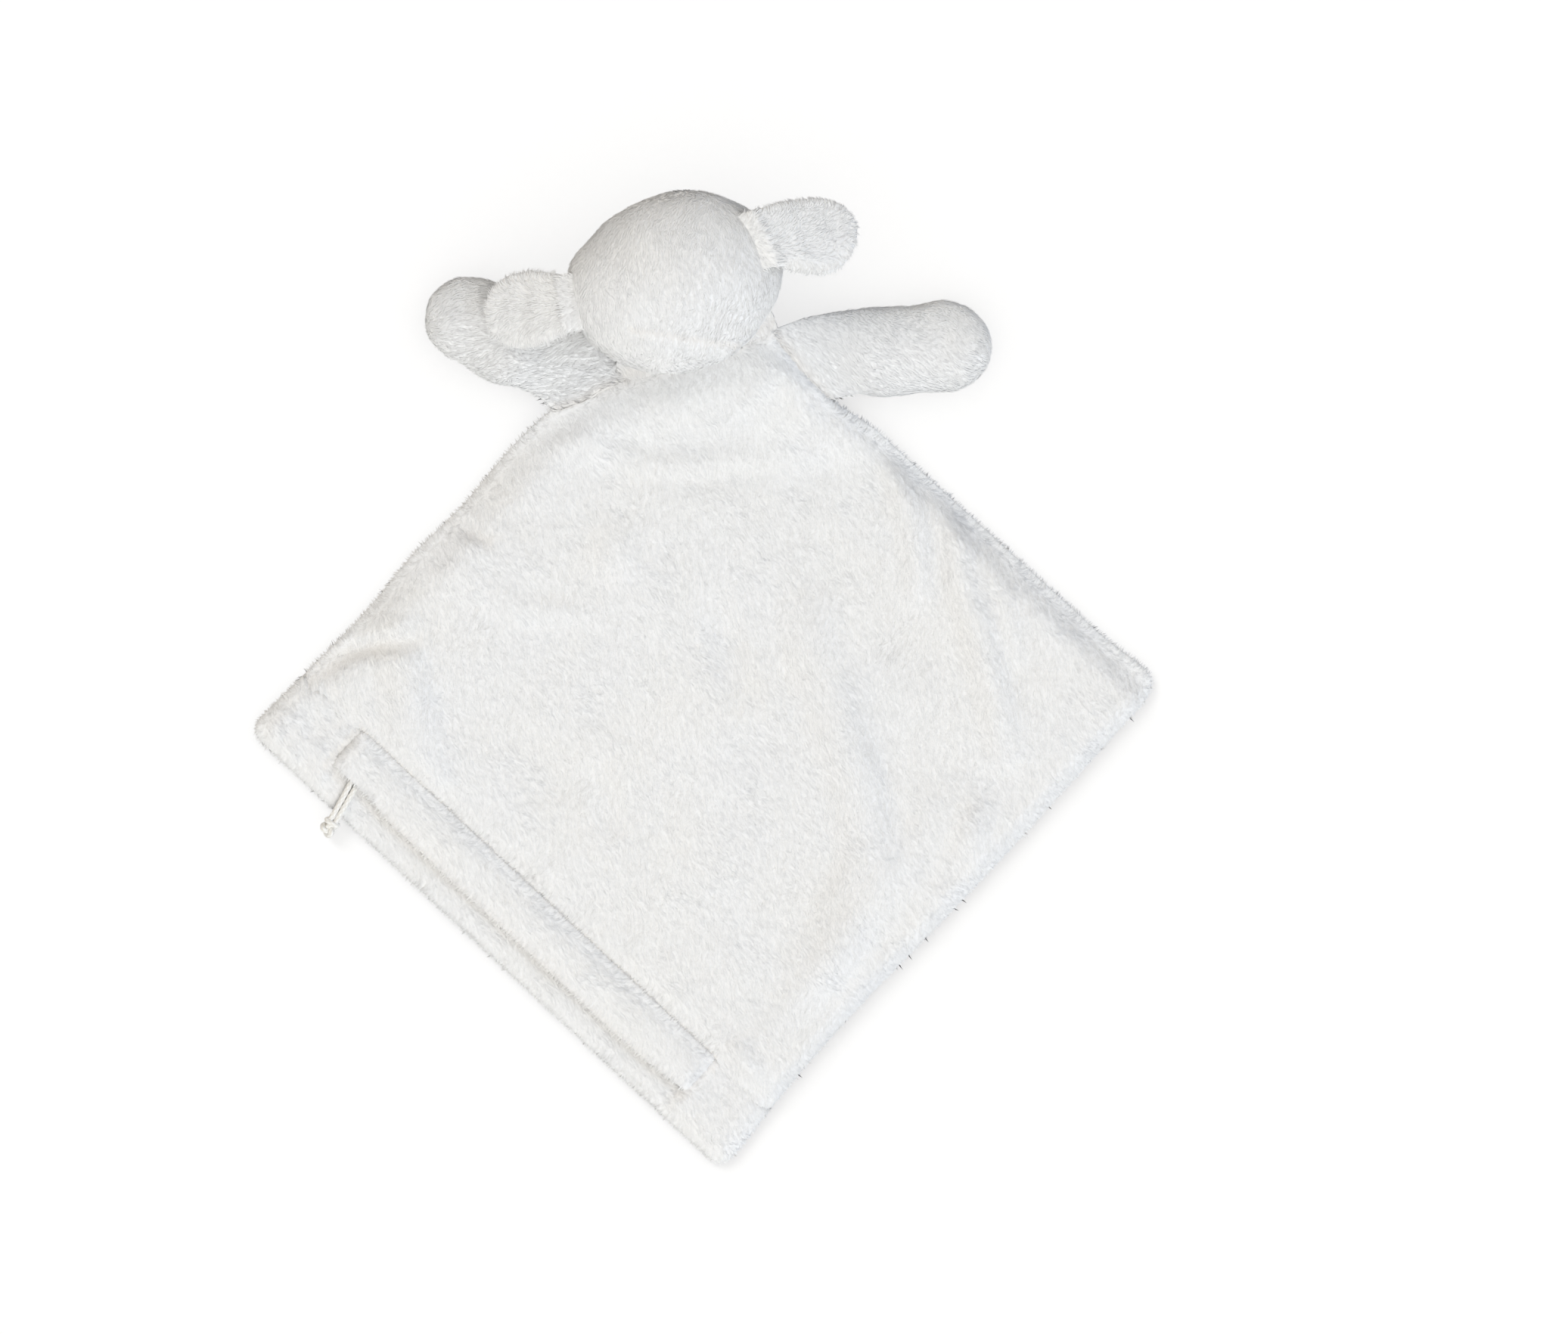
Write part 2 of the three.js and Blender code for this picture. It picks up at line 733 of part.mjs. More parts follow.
function headBall(grow) {
  return headForm(grow, ballTurns, ballRings).transform(headPlace.elements);
}

// Everything between two heights
function halfSpace(low, high) {
  const reach = headDistance + headLength;
  return extruded(rectangle(-reach, -reach, reach, reach), low, high);
}

function headCover(back) {
  const wall = headForm(0, ballTurns, ballRings).subtract(
    headForm(-plushThick, innerTurns, innerRings),
  );
  const half = back
    ? halfSpace(seamGap / 2, headDepth)
    : halfSpace(-headDepth, -seamGap / 2);
  return wall.intersect(half);
}

function headFilling() {
  return headForm(-plushThick - seamGap, innerTurns, innerRings);
}

// Lengths from the head's centre down to the muzzle's centre and to the table
const muzzleDrop = headDepth / 2 + muzzleStandOff - muzzleDepth / 2;

function muzzleBall(grow) {
  return solidOf(
    ball(
      muzzleWidth + 2 * grow,
      muzzleLength + 2 * grow,
      muzzleDepth + 2 * grow,
      muzzleTurns,
      muzzleRings,
    ),
  ).translate([0, 0, -muzzleDrop]);
}

function muzzle() {
  const below = halfSpace(-headDepth, -headDepth * muzzleRootShare);
  return muzzleBall(0)
    .intersect(below)
    .subtract(headForm(seamGap, ballTurns, ballRings));
}

// Depth of a ball's surface under a point of its plan
function ballDepth(width, length, depth, x, y) {
  return (depth / 2) * Math.sqrt(1 - (x / (width / 2)) ** 2 - (y / (length / 2)) ** 2);
}

function nose() {
  const surface = muzzleDrop + ballDepth(muzzleWidth, muzzleLength, muzzleDepth, 0, noseRise);
  const drop = surface + noseProud - noseDepth / 2;
  return solidOf(ball(noseWidth, noseLength, noseDepth, smallTurns, smallRings))
    .translate([0, noseRise, -drop])
    .subtract(muzzleBall(seamGap))
    .decompose()
    .reduce((most, piece) => (piece.volume() > most.volume() ? piece : most));
}

function eye(side) {
  const x = (side * eyeSpacing) / 2;
  const drop = ballDepth(headWidth, headLength, headDepth, x, eyeRise);
  return solidOf(ball(eyeWidth, eyeWidth, eyeWidth, smallTurns, smallRings))
    .translate([x, eyeRise, -drop])
    .subtract(headForm(seamGap, ballTurns, ballRings));
}

// Half width of an ear or an arm at a share of its length: it widens from the root to its full
// width and ends in a half circle
function leafHalf(share, rootWidth, fullWidth, widenShare, length) {
  const { lerp, smoothstep } = THREE.MathUtils;
  const half = lerp(rootWidth, fullWidth, smoothstep(share, 0, widenShare)) / 2;
  return half * roundEnd(share, fullWidth, length);
}

function roundEnd(share, fullWidth, length) {
  const endShare = fullWidth / 2 / length;
  const past = Math.max(0, 1 - (1 - share) / endShare);
  return Math.sqrt(1 - past ** 2);
}

// Ears. Each has a frame at its hinge line, with +X along the leaf, +Y along the hinge line
// and +Z out of the leaf's back

function earFrame({ bearing, height, heading, droop }) {
  const direction = new THREE.Vector3(
    Math.cos(bearing) * Math.cos(height),
    Math.sin(bearing) * Math.cos(height),
    Math.sin(height),
  );
  const half = new THREE.Vector3(headWidth, headLength, headDepth).divideScalar(2);
  const surface = direction.clone().multiply(half);
  const outward = direction.clone().divide(half).normalize();
  const standOff = plushThick + (3 * seamGap) / 2;
  const pivot = surface.addScaledVector(outward, standOff).applyMatrix4(headPlace);
  const normal = outward.transformDirection(headPlace);
  const left = new THREE.Vector3(-Math.sin(heading), Math.cos(heading), 0);
  const hinge = left.projectOnPlane(normal).normalize();
  const level = new THREE.Vector3().crossVectors(hinge, up).normalize();
  const along = level.applyAxisAngle(hinge, droop);
  const back = new THREE.Vector3().crossVectors(along, hinge);
  const place = new THREE.Matrix4().makeBasis(along, hinge, back).setPosition(pivot);
  return { pivot, hinge, place };
}

function earOutline({ rootWidth, leanShare, slantShare }) {
  const edge = [...leafShares, 1].map((share) => [
    share * earLength,
    leafHalf(share, rootWidth, earWidth, earWidenShare, earLength),
  ]);
  const far = edge.slice(0, -1).reverse();
  const outline = [...edge.map(([x, half]) => [x, -half]), ...far];
  return rounded(
    outline.map(([x, y]) => [x * (1 + (slantShare * y) / earLength), y + leanShare * x]),
  );
}

function earLayer(ear, back) {
  const middle = (x, y) => {
    const reach = 1 + (ear.slantShare * (y - ear.leanShare * x)) / earLength;
    const share = x / reach / earLength;
    const aside = (y - (ear.leanShare * x) / reach) / (earWidth / 2);
    return earCurl * share ** 2 - earCup * aside ** 2 * share;
  };
  const low = back ? seamGap / 2 : -seamGap / 2 - plushThick;
  const high = low + plushThick;
  return draped(
    earOutline(ear),
    (x, y) => middle(x, y) + high,
    (x, y) => middle(x, y) + low,
    [earCell, earCell],
  );
}

// Arms, in world places. Each hangs on the blanket's edge by a roll of cloth along the seam

function armFrame(arm, neckEnd, shoulder) {
  const onEdge = ([x, y]) => new THREE.Vector3(x, y, climb(x, y) + backTop / 2);
  const ends = [onEdge(neckEnd), onEdge(shoulder)];
  const root = ends[0].clone().lerp(ends[1], 1 / 2);
  const seam = ends[1].clone().sub(ends[0]).normalize();
  const away = new THREE.Vector3().crossVectors(up, seam).normalize();
  const heading = new THREE.Vector3(Math.cos(arm.heading), Math.sin(arm.heading), 0);
  if (away.dot(heading) < 0) away.negate();
  root.addScaledVector(away, armRootThick / 2 + seamGap);
  return { root, seam, heading };
}

// Middle of an arm and its direction across, at a share of the arm's length
function armLine(arm, frame, share) {
  const { smoothstep, lerp } = THREE.MathUtils;
  const left = new THREE.Vector3().crossVectors(up, frame.heading);
  const rootAcross = frame.seam.clone();
  if (rootAcross.dot(left) < 0) rootAcross.negate();
  const slope = rootAcross.z;
  const skew = Math.atan2(left.clone().cross(rootAcross).z, left.dot(rootAcross));
  const straight = 1 - smoothstep(share, 0, armWidenShare);
  const across = left.applyAxisAngle(up, skew * straight);
  across.z = slope * straight;
  const centre = frame.root.clone().addScaledVector(frame.heading, share * arm.length);
  centre.z = lerp(frame.root.z, armMiddle, smoothstep(share, 0, armThickenShare));
  return { centre, across };
}

function armForm(arm, frame, inset, startShare) {
  const { smoothstep, lerp } = THREE.MathUtils;
  const endShare = 1 - inset / arm.length;
  const rings = leafShares.map((ringShare) => {
    const share = lerp(startShare, endShare, ringShare);
    const tip = roundEnd(ringShare, armWidth, arm.length);
    const widen = smoothstep(share, 0, armWidenShare);
    const wide = lerp(arm.rootWidth, armWidth, widen) / 2 - inset;
    const thicken = smoothstep(share, 0, armThickenShare);
    const thick = lerp(armRootThick, armThick, thicken) / 2 - inset;
    const { centre, across } = armLine(arm, frame, share);
    return Array.from({ length: armSides }, (_, k) => {
      const angle = (2 * Math.PI * k) / armSides;
      return centre
        .clone()
        .addScaledVector(across, wide * tip * Math.cos(angle))
        .addScaledVector(up, thick * Math.sqrt(tip) * Math.sin(angle));
    });
  });
  return lofted(rings);
}

function armRoll(arm, frame) {
  const radius = armRootThick / 2;
  const roll = new THREE.CylinderGeometry(radius, radius, arm.rootWidth, smallTurns);
  const turn = new THREE.Quaternion().setFromUnitVectors(new THREE.Vector3(0, 1, 0), frame.seam);
  return solidOf(roll.applyQuaternion(turn).translate(...frame.root));
}

// The slit between an arm's two covers, level from side to side
function armSlit(arm, frame) {
  const past = overrun / arm.length;
  const rings = Array.from({ length: slitSteps + 1 }, (_, step) => {
    const share = THREE.MathUtils.lerp(-2 * past, 1 + past, step / slitSteps);
    const { centre, across } = armLine(arm, frame, share);
    const side = across.setZ(0).multiplyScalar(armWidth / 2 + overrun);
    const rise = up.clone().multiplyScalar(seamGap / 2);
    return [
      centre.clone().sub(side).sub(rise),
      centre.clone().add(side).sub(rise),
      centre.clone().add(side).add(rise),
      centre.clone().sub(side).add(rise),
    ];
  });
  return lofted(rings);
}

function armPieces(arm, frame) {
  const covers = armForm(arm, frame, 0, 0)
    .add(armRoll(arm, frame))
    .subtract(headBall(seamGap))
    .subtract(armForm(arm, frame, plushThick, armSolidShare))
    .subtract(armSlit(arm, frame))
    .decompose()
    .sort((one, other) => other.volume() - one.volume())
    .slice(0, 2)
    .sort((one, other) => other.boundingBox().max[2] - one.boundingBox().max[2]);
  const fillingShare = armSolidShare + seamGap / arm.length;
  return {
    back: covers[0],
    front: covers[1],
    filling: armForm(arm, frame, plushThick + seamGap, fillingShare),
  };
}

// Assembly

const lovey = new THREE.Group();

const blanket = new THREE.Group();
blanket.applyMatrix4(blanketPlace);
blanket.add(
  meshOf("front_panel", frontPanel(), innerPlush),
  meshOf("back_panel", backPanel(), plush),
  meshOf("hem_panel", hemPanel(), plush),
  meshOf("zip_flap", zipFlap(), plush),
  meshOf("zip_tape_inner", tape(1), tapeWeave),
  meshOf("zip_tape_outer", tape(-1), tapeWeave),
  meshOf("zip_teeth_inner", teeth(1), nylon),
  meshOf("zip_teeth_outer", teeth(-1), nylon),
  meshOf("zip_top_stop_inner", topStop(1), nickel),
  meshOf("zip_top_stop_outer", topStop(-1), nickel),
  meshOf("zip_bottom_stop", bottomStop(), nickel),
);
const slider = meshOf("zip_slider", zipSlider(), nickel);
slider.position.set(sliderStart, zipLine, 0);
blanket.add(slider);
const pull = new THREE.Group();
pull.position.set(pullPivot, zipLine, 0);
pull.rotation.z = pullHeading;
pull.add(meshOf("zip_pull_cord", pullCord(), braid));
pull.add(meshOf("zip_pull_knot", pullKnot(), braid));
blanket.add(pull);
lovey.add(blanket);
lovey.add(meshOf("neck_gather", neckGather(), plush));

const head = new THREE.Group();
head.applyMatrix4(headPlace);
head.add(
  meshOf("head_back_cover", headCover(true), plush),
  meshOf("head_face_cover", headCover(false), plush),
  meshOf("head_filling", headFilling(), filling),
  meshOf("muzzle", muzzle(), plush),
  meshOf("nose", nose(), thread),
  meshOf("left_eye", eye(-1), thread),
  meshOf("right_eye", eye(1), thread),
);
lovey.add(head);

const pivots = {};
for (const [side, ear] of Object.entries(ears)) {
  const { pivot, hinge, place } = earFrame(ear);
  const group = new THREE.Group();
  group.applyMatrix4(place);
  group.add(meshOf(side + "_ear_back", earLayer(ear, true), plush));
  group.add(meshOf(side + "_ear_lining", earLayer(ear, false), innerPlush));
  lovey.add(group);
  pivots[side + "_ear"] = { pivot, axis: hinge };
}

const armRoots = {
  left: [neckLeft, shoulderLeft],
  right: [neckRight, shoulderRight],
};
for (const [side, arm] of Object.entries(arms)) {
  const frame = armFrame(arm, ...armRoots[side]);
  const pieces = armPieces(arm, frame);
  lovey.add(meshOf(side + "_arm_back_cover", pieces.back, plush));
  lovey.add(meshOf(side + "_arm_front_cover", pieces.front, innerPlush));
  lovey.add(meshOf(side + "_arm_filling", pieces.filling, filling));
  pivots[side + "_arm"] = { pivot: frame.root, axis: frame.seam };
}

// Places of the hinges, for whoever sets the toy in motion
const neckUnder = new THREE.Vector3(...neckCentre, 0)
  .sub(new THREE.Vector3(headShift, headDistance, 0))
  .applyAxisAngle(up, -headTilt);
const neckDepth = ballDepth(headWidth, headLength, headDepth, neckUnder.x, neckUnder.y);
pivots.neck = {
  pivot: new THREE.Vector3(...neckCentre, headCentreHeight - neckDepth),
  axis: new THREE.Vector3(Math.cos(neckTilt), Math.sin(neckTilt), 0),
};
pivots.pull = {
  pivot: new THREE.Vector3(pullPivot, zipLine, 0).applyMatrix4(blanketPlace),
  axis: up.clone(),
};
pivots.zip = { pivot: new THREE.Vector3(), axis: new THREE.Vector3(1, -1, 0).normalize() };
lovey.userData.pivots = pivots;

export default lovey;
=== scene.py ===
# Comfort blanket with a stuffed animal head, two ears and two arms, lying face down.
# Lengths in the tables are millimetres, and meshPiece turns them into metres.
import math
import bmesh
import bpy
import numpy as np
from mathutils import Matrix, Vector
from mathutils.geometry import delaunay_2d_cdt
from mathutils.kdtree import KDTree


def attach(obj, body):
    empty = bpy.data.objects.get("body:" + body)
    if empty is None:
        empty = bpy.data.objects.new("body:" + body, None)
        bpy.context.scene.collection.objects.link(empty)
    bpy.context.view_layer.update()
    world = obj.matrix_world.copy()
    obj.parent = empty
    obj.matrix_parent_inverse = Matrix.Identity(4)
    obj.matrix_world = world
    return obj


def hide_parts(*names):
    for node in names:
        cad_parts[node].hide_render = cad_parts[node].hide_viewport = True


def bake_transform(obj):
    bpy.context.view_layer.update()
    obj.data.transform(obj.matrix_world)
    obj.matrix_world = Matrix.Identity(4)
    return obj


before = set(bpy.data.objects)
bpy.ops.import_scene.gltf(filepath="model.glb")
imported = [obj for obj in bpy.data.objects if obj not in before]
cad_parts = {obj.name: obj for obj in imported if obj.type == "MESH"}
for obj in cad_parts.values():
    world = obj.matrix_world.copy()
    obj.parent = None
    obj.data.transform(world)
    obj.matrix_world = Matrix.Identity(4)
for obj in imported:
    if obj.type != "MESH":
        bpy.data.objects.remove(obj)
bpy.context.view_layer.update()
mm = 0.001


# Small helpers

def linearHex(text):  # sRGB hex to linear
    parts = [int(text[i:i + 2], 16) / 255 for i in (1, 3, 5)]
    return tuple(c / 12.92 if c <= 0.04045 else ((c + 0.055) / 1.055) ** 2.4 for c in parts) + (1.0,)


def feed(tree, node, inputs):  # each input gets its value, or a link where the value is a socket
    for key, value in inputs.items():
        if isinstance(value, bpy.types.NodeSocket):
            tree.links.new(value, node.inputs[key])
        else:
            node.inputs[key].default_value = value
    return node


def addNode(tree, kind, inputs=None, **settings):
    node = tree.nodes.new(kind)
    for name, value in settings.items():
        setattr(node, name, value)
    return feed(tree, node, inputs or {})


def maths(tree, operation, *values):
    return addNode(tree, "ShaderNodeMath", dict(enumerate(values)), operation=operation).outputs[0]


def vectorMaths(tree, operation, *values, **named):
    node = addNode(tree, "ShaderNodeVectorMath", {**dict(enumerate(values)), **named}, operation=operation)
    return node.outputs["Value" if operation == "DOT_PRODUCT" else "Vector"]


def mixColours(tree, share, low, high):
    return addNode(tree, "ShaderNodeMix", {0: share, 6: low, 7: high}, data_type="RGBA").outputs[2]


def mapped(tree, value, start, end, low, high):  # start to end becomes low to high
    inputs = {"Value": value, "From Min": start, "From Max": end, "To Min": low, "To Max": high}
    return addNode(tree, "ShaderNodeMapRange", inputs).outputs["Result"]


def noise(tree, place, size, detail):  # its lumps are about size millimetres across
    inputs = {"Vector": place, "Scale": 1000 / size, "Detail": detail}
    return addNode(tree, "ShaderNodeTexNoise", inputs).outputs["Fac"]


def attribute(tree, name):
    return addNode(tree, "ShaderNodeAttribute", attribute_name=name).outputs["Fac"]


def bumped(tree, height, strength, distance):
    inputs = {"Height": height, "Strength": strength, "Distance": distance * mm}
    return addNode(tree, "ShaderNodeBump", inputs).outputs["Normal"]


def objectPlace(tree):
    return addNode(tree, "ShaderNodeTexCoord").outputs["Object"]


def smoothstep(value, low, high):
    share = np.clip((value - low) / (high - low), 0, 1)
    return share * share * (3 - 2 * share)


def lerp(a, b, share):
    return a + (b - a) * share


def unit(v):
    return v / np.maximum(np.linalg.norm(v, axis=-1, keepdims=True), 1e-12)


def softNoise(points, wave, seed, count=14):  # smooth lumps about a wavelength apart, from -1 to 1
    rng = np.random.default_rng(seed)
    total = np.zeros(len(points))
    for _ in range(count):
        way = rng.normal(size=points.shape[1])
        way /= np.linalg.norm(way)
        scale = 2 * math.pi / (wave * rng.uniform(0.75, 1.4))
        total += np.cos(points @ way * scale + rng.uniform(0, 2 * math.pi))
    return total / math.sqrt(count) / 1.6


def fetched(data, field, width):  # one number or one vector for each element of a mesh's data
    out = np.empty(len(data) * width, np.float32)
    data.foreach_get(field, out)
    return out if width == 1 else out.reshape(-1, width)


def thinPile(mesh, part):
    data = mesh.attributes["pileShare"].data
    data.foreach_set("value", fetched(data, "value", 1) * part)


def meshPiece(name, points, faces, material, attributes=None, smooth=True):
    mesh = bpy.data.meshes.new(name)
    mesh.from_pydata((np.asarray(points) * mm).tolist(), [], [list(map(int, f)) for f in faces])
    mesh.validate()
    mesh.polygons.foreach_set("use_smooth", [smooth] * len(mesh.polygons))
    for key, values in (attributes or {}).items():
        values = np.asarray(values, np.float32)
        kind, field = ("FLOAT", "value") if values.ndim == 1 else ("FLOAT_VECTOR", "vector")
        mesh.attributes.new(key, kind, "POINT").data.foreach_set(field, values.ravel())
    mesh.materials.append(material)
    mesh.update()
    piece = bpy.data.objects.new(name, mesh)
    bpy.context.scene.collection.objects.link(piece)
    return piece


# Materials

def newMaterial(name):
    material = bpy.data.materials.new(name)
    material.use_nodes = True
    tree = material.node_tree
    tree.nodes.clear()
    shader = addNode(tree, "ShaderNodeBsdfPrincipled")
    addNode(tree, "ShaderNodeOutputMaterial", {"Surface": shader.outputs["BSDF"]})
    return material, tree, shader


plushLook = {
    "white": "#F1F2F3",     # bleached polyester pile
    # painted shade: warm and cool blotches, as where the pile lies away from the light
    "warm": "#F1F0EC",      # where the pile lies away from the light
    "cool": "#EEF0F3",
    # painted shade for seams and creases
    "crevice": "#D9C09C",   # light that has bounced about in a seam
    "ground": "#EFF0F1",    # knitted ground under the pile
    "blotch": 55,           # millimetres across
    "blotchShare": 0.2,
    "knit": 1.1,            # millimetres from loop to loop
    "roughness": 0.92,
    "sheen": 0.25,
    "toneSpread": 0.05,
}


def plushMaterial(name, look, pile):
    # Polyester plush with cut pile, brushed: matt, with a faint sheen at grazing angles
    material, tree, shader = newMaterial(name)
    place = objectPlace(tree)
    # Painted shade: the pile is mottled warm and cool in blotches, as where it lies away from the light
    shift = mapped(tree, noise(tree, place, look["blotch"], 2.0), 0.35, 0.65, 0, 1)
    blotched = mixColours(tree, shift, linearHex(look["warm"]), linearHex(look["cool"]))
    white = mixColours(tree, look["blotchShare"], linearHex(look["white" if pile else "ground"]), blotched)
    # painted shade: seams, creases and fold valleys are darkened and warmed towards the shade colour
    colour = mixColours(tree, attribute(tree, "crevice"), white, linearHex(look["crevice"]))
    if pile:
        light = mapped(tree, attribute(tree, "tuftTone"), 0, 1, 1, 1 - 2 * look["toneSpread"])
        colour = vectorMaths(tree, "SCALE", colour, Scale=light)
    else:
        knit = noise(tree, place, look["knit"], 1.0)
        feed(tree, shader, {"Normal": bumped(tree, knit, 0.5, 0.4)})
    feed(tree, shader, {"Base Color": colour, "Roughness": look["roughness"], "Sheen Weight": look["sheen"],
                        "Sheen Roughness": 0.5, "Specular IOR Level": 0.2})
    return material


pileMaterial = plushMaterial("brushed plush pile", plushLook, True)
clothMaterial = plushMaterial("knitted plush ground", plushLook, False)


# Camera: straight above, turned a little, as in the photograph

view = {"place": (41.0, 21.9), "turn": -2.12, "height": 8000, "width": 797.6}
camera = bpy.data.cameras.new("camera")
camera.sensor_width = 36
camera.lens = 36 * view["height"] / view["width"]
camera.clip_start, camera.clip_end = 0.1, 40
cameraObject = bpy.data.objects.new("camera", camera)
bpy.context.scene.collection.objects.link(cameraObject)
cameraObject.location = (view["place"][0] * mm, view["place"][1] * mm, view["height"] * mm)
cameraObject.rotation_euler = (0, 0, math.radians(view["turn"]))
bpy.context.scene.camera = cameraObject


# Pull cord: one cord doubled round the slider's bail, its ends in one knot

cordLook = {
    "thick": 3.0, "height": 7.8,
    "pivot": (-174.30, -20.86), "heading": -121.6,
    "sides": 28, "step": 0.33, "braidPitch": 3.4, "braidDepth": 0.07, "plaits": 4,
    "colour": "#F3F3F1", "shade": "#DDDAD3", "roughness": 0.75, "fibre": 0.35,
    "knotMiddle": 36.3, "knotHeight": 5.2, "knotAcross": 9.6, "entry": 32.5,
}
cordHalf = [
    (32.2, 1.5), (29, 1.5), (26, 1.5), (22, 1.5), (18, 1.52), (14, 1.6), (10, 1.85),
    (6, 2.2), (3, 2.35), (0, 2.35), (-1.66, 1.66),
]
cordRoute = cordHalf + [(-2.35, 0)] + [(x, -y) for x, y in reversed(cordHalf)]


def cordPlace(points):  # from the cord's own frame, +X along it, to the blanket's
    turn = math.radians(cordLook["heading"])
    c, s = math.cos(turn), math.sin(turn)
    points = np.asarray(points, float)
    x, y = cordLook["pivot"]
    ahead, aside, up = points.T
    return np.stack([x + c * ahead - s * aside, y + s * ahead + c * aside, up], 1)


def runLength(line):  # distance along a line at each of its points
    return np.concatenate([[0], np.cumsum(np.linalg.norm(np.diff(line, axis=0), axis=1))])


def sampled(line, far, where):
    return np.stack([np.interp(where, far, column) for column in line.T], 1)


def smoothPath(points, step, closed=False):  # Catmull-Rom through the points, evenly spaced
    points = np.asarray(points, float)
    if closed:
        padded = np.vstack([points[-1], points, points[:2]])
    else:
        padded = np.vstack([2 * points[0] - points[1], points, 2 * points[-1] - points[-2]])
    out = []
    for a, b, c, d in zip(padded, padded[1:], padded[2:], padded[3:]):
        t = np.linspace(0, 1, 24, endpoint=False)[:, None]
        squared, cubed = 2 * a - 5 * b + 4 * c - d, 3 * b - a - 3 * c + d
        out.append(0.5 * (2 * b + (c - a) * t + squared * t ** 2 + cubed * t ** 3))
    line = np.vstack(out + [padded[-2][None]])
    far = runLength(line)
    count = max(3, int(round(far[-1] / step)) + 1)
    return sampled(line, far, np.linspace(0, far[-1], count))


def tubeFaces(count, sides, closed=False):  # rings of points, then one point in the middle of each end
    faces = []
    for k in range(count if closed else count - 1):
        a, b = k * sides, ((k + 1) % count) * sides
        for j in range(sides):
            n = (j + 1) % sides
            faces.append((a + j, a + n, b + n, b + j))
    if not closed:
        low, high, last = count * sides, count * sides + 1, (count - 1) * sides
        for j in range(sides):
            n = (j + 1) % sides
            faces += [(low, n, j), (high, last + j, last + n)]
    return faces


def tube(path, radius, sides, closed=False):  # radius is a function of length along and angle round
    path = np.asarray(path, float)
    ahead = np.roll(path, -1, 0) - np.roll(path, 1, 0)
    if not closed:
        ahead[0], ahead[-1] = path[1] - path[0], path[-1] - path[-2]
    ahead = unit(ahead)
    side = np.cross(ahead[0], (0.3, 0.2, 1))
    across = [side / np.linalg.norm(side)]
    for k in range(1, len(path)):  # carried along without twist
        v = across[-1] - ahead[k] * (across[-1] @ ahead[k])
        across.append(v / np.linalg.norm(v))
    across = np.array(across)
    over = np.cross(ahead, across)
    if closed:  # the twist that is left over is spread along the way
        end = across[-1] - ahead[0] * (across[-1] @ ahead[0])
        gap = math.atan2(end @ over[0], end @ across[0])
        turn = -gap * np.arange(len(path)) / len(path)
        c, s = np.cos(turn)[:, None], np.sin(turn)[:, None]
        across, over = c * across + s * over, c * over - s * across
    angle = np.arange(sides) * 2 * math.pi / sides
    r = radius(runLength(path)[:, None], angle[None, :])
    spoke = np.cos(angle)[None, :, None] * across[:, None] + np.sin(angle)[None, :, None] * over[:, None]
    points = (path[:, None] + r[..., None] * spoke).reshape(-1, 3)
    if not closed:
        points = np.vstack([points, path[0], path[-1]])
    return points, tubeFaces(len(path), sides, closed)


def braidMaterial(look):
    # Braided cotton cord, bleached: matt, with painted shade in the grooves between its plaits
    material, tree, shader = newMaterial("braided cotton cord")
    groove = attribute(tree, "groove")
    colour = mixColours(tree, groove, linearHex(look["colour"]), linearHex(look["shade"]))
    fibre = noise(tree, objectPlace(tree), look["fibre"], 2.0)
    feed(tree, shader, {"Base Color": colour, "Normal": bumped(tree, fibre, 0.6, 0.2),
                        "Roughness": look["roughness"], "Sheen Weight": 0.2})
    return material


braidCotton = braidMaterial(cordLook)


def plait(far, angle):  # 1 on top of a plait, 0 in the grooves between them
    turn = 2 * math.pi * far / cordLook["braidPitch"]
    n = cordLook["plaits"] / 2
    return np.abs(np.sin(n * angle + turn / 2)) * np.abs(np.sin(n * angle - turn / 2))


def braided(name, path, thick, closed=False):
    depth = cordLook["braidDepth"]
    radius = lambda far, angle: thick / 2 * (1 - depth * (1 - np.sqrt(plait(far, angle))) * 2)
    points, faces = tube(path, radius, cordLook["sides"], closed)
    angle = np.arange(cordLook["sides"]) * 2 * math.pi / cordLook["sides"]
    # painted shade in the grooves between the plaits
    groove = (1 - np.sqrt(plait(runLength(path)[:, None], angle[None, :]))).ravel()
    groove = np.concatenate([groove, np.zeros(len(points) - len(groove))])
    return meshPiece(name, points, faces, braidCotton, {"groove": groove})


def pullCord():
    route = np.array([(x, y, cordLook["height"]) for x, y in cordRoute], float)
    path = cordPlace(smoothPath(route, cordLook["step"]))
    cord = braided("pull_cord", path, cordLook["thick"])
    middle = np.array([cordLook["knotMiddle"], 0, cordLook["knotHeight"]])
    t = np.linspace(0, 2 * math.pi, 13)[:-1]
    r = (cordLook["knotAcross"] - cordLook["thick"]) / 2 / 3
    x, y = r * (np.sin(t) + 2 * np.sin(2 * t)), r * (np.cos(t) - 2 * np.cos(2 * t))
    loop = np.stack([x, y, -1.75 * np.sin(3 * t)], 1)
    knotPath = cordPlace(smoothPath(loop + middle, cordLook["step"], closed=True)[:-1])
    knot = braided("pull_knot", knotPath, cordLook["thick"] * 1.02, closed=True)
    t = np.linspace(0, 2 * math.pi, 17)[:-1]
    wrap = np.stack([np.full_like(t, cordLook["entry"]) + 0.5 * np.sin(t), 2.95 * np.cos(t),
                     6.7 + 2.05 * np.sin(t)], 1)
    wrapPath = cordPlace(smoothPath(wrap, cordLook["step"], closed=True)[:-1])
    collar = braided("pull_knot_wrap", wrapPath, cordLook["thick"], closed=True)
    for piece in (cord, knot, collar):
        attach(piece, "zip_pull")
    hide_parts("zip_pull_cord")
    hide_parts("zip_pull_knot")


pullCord()


# Floor and light

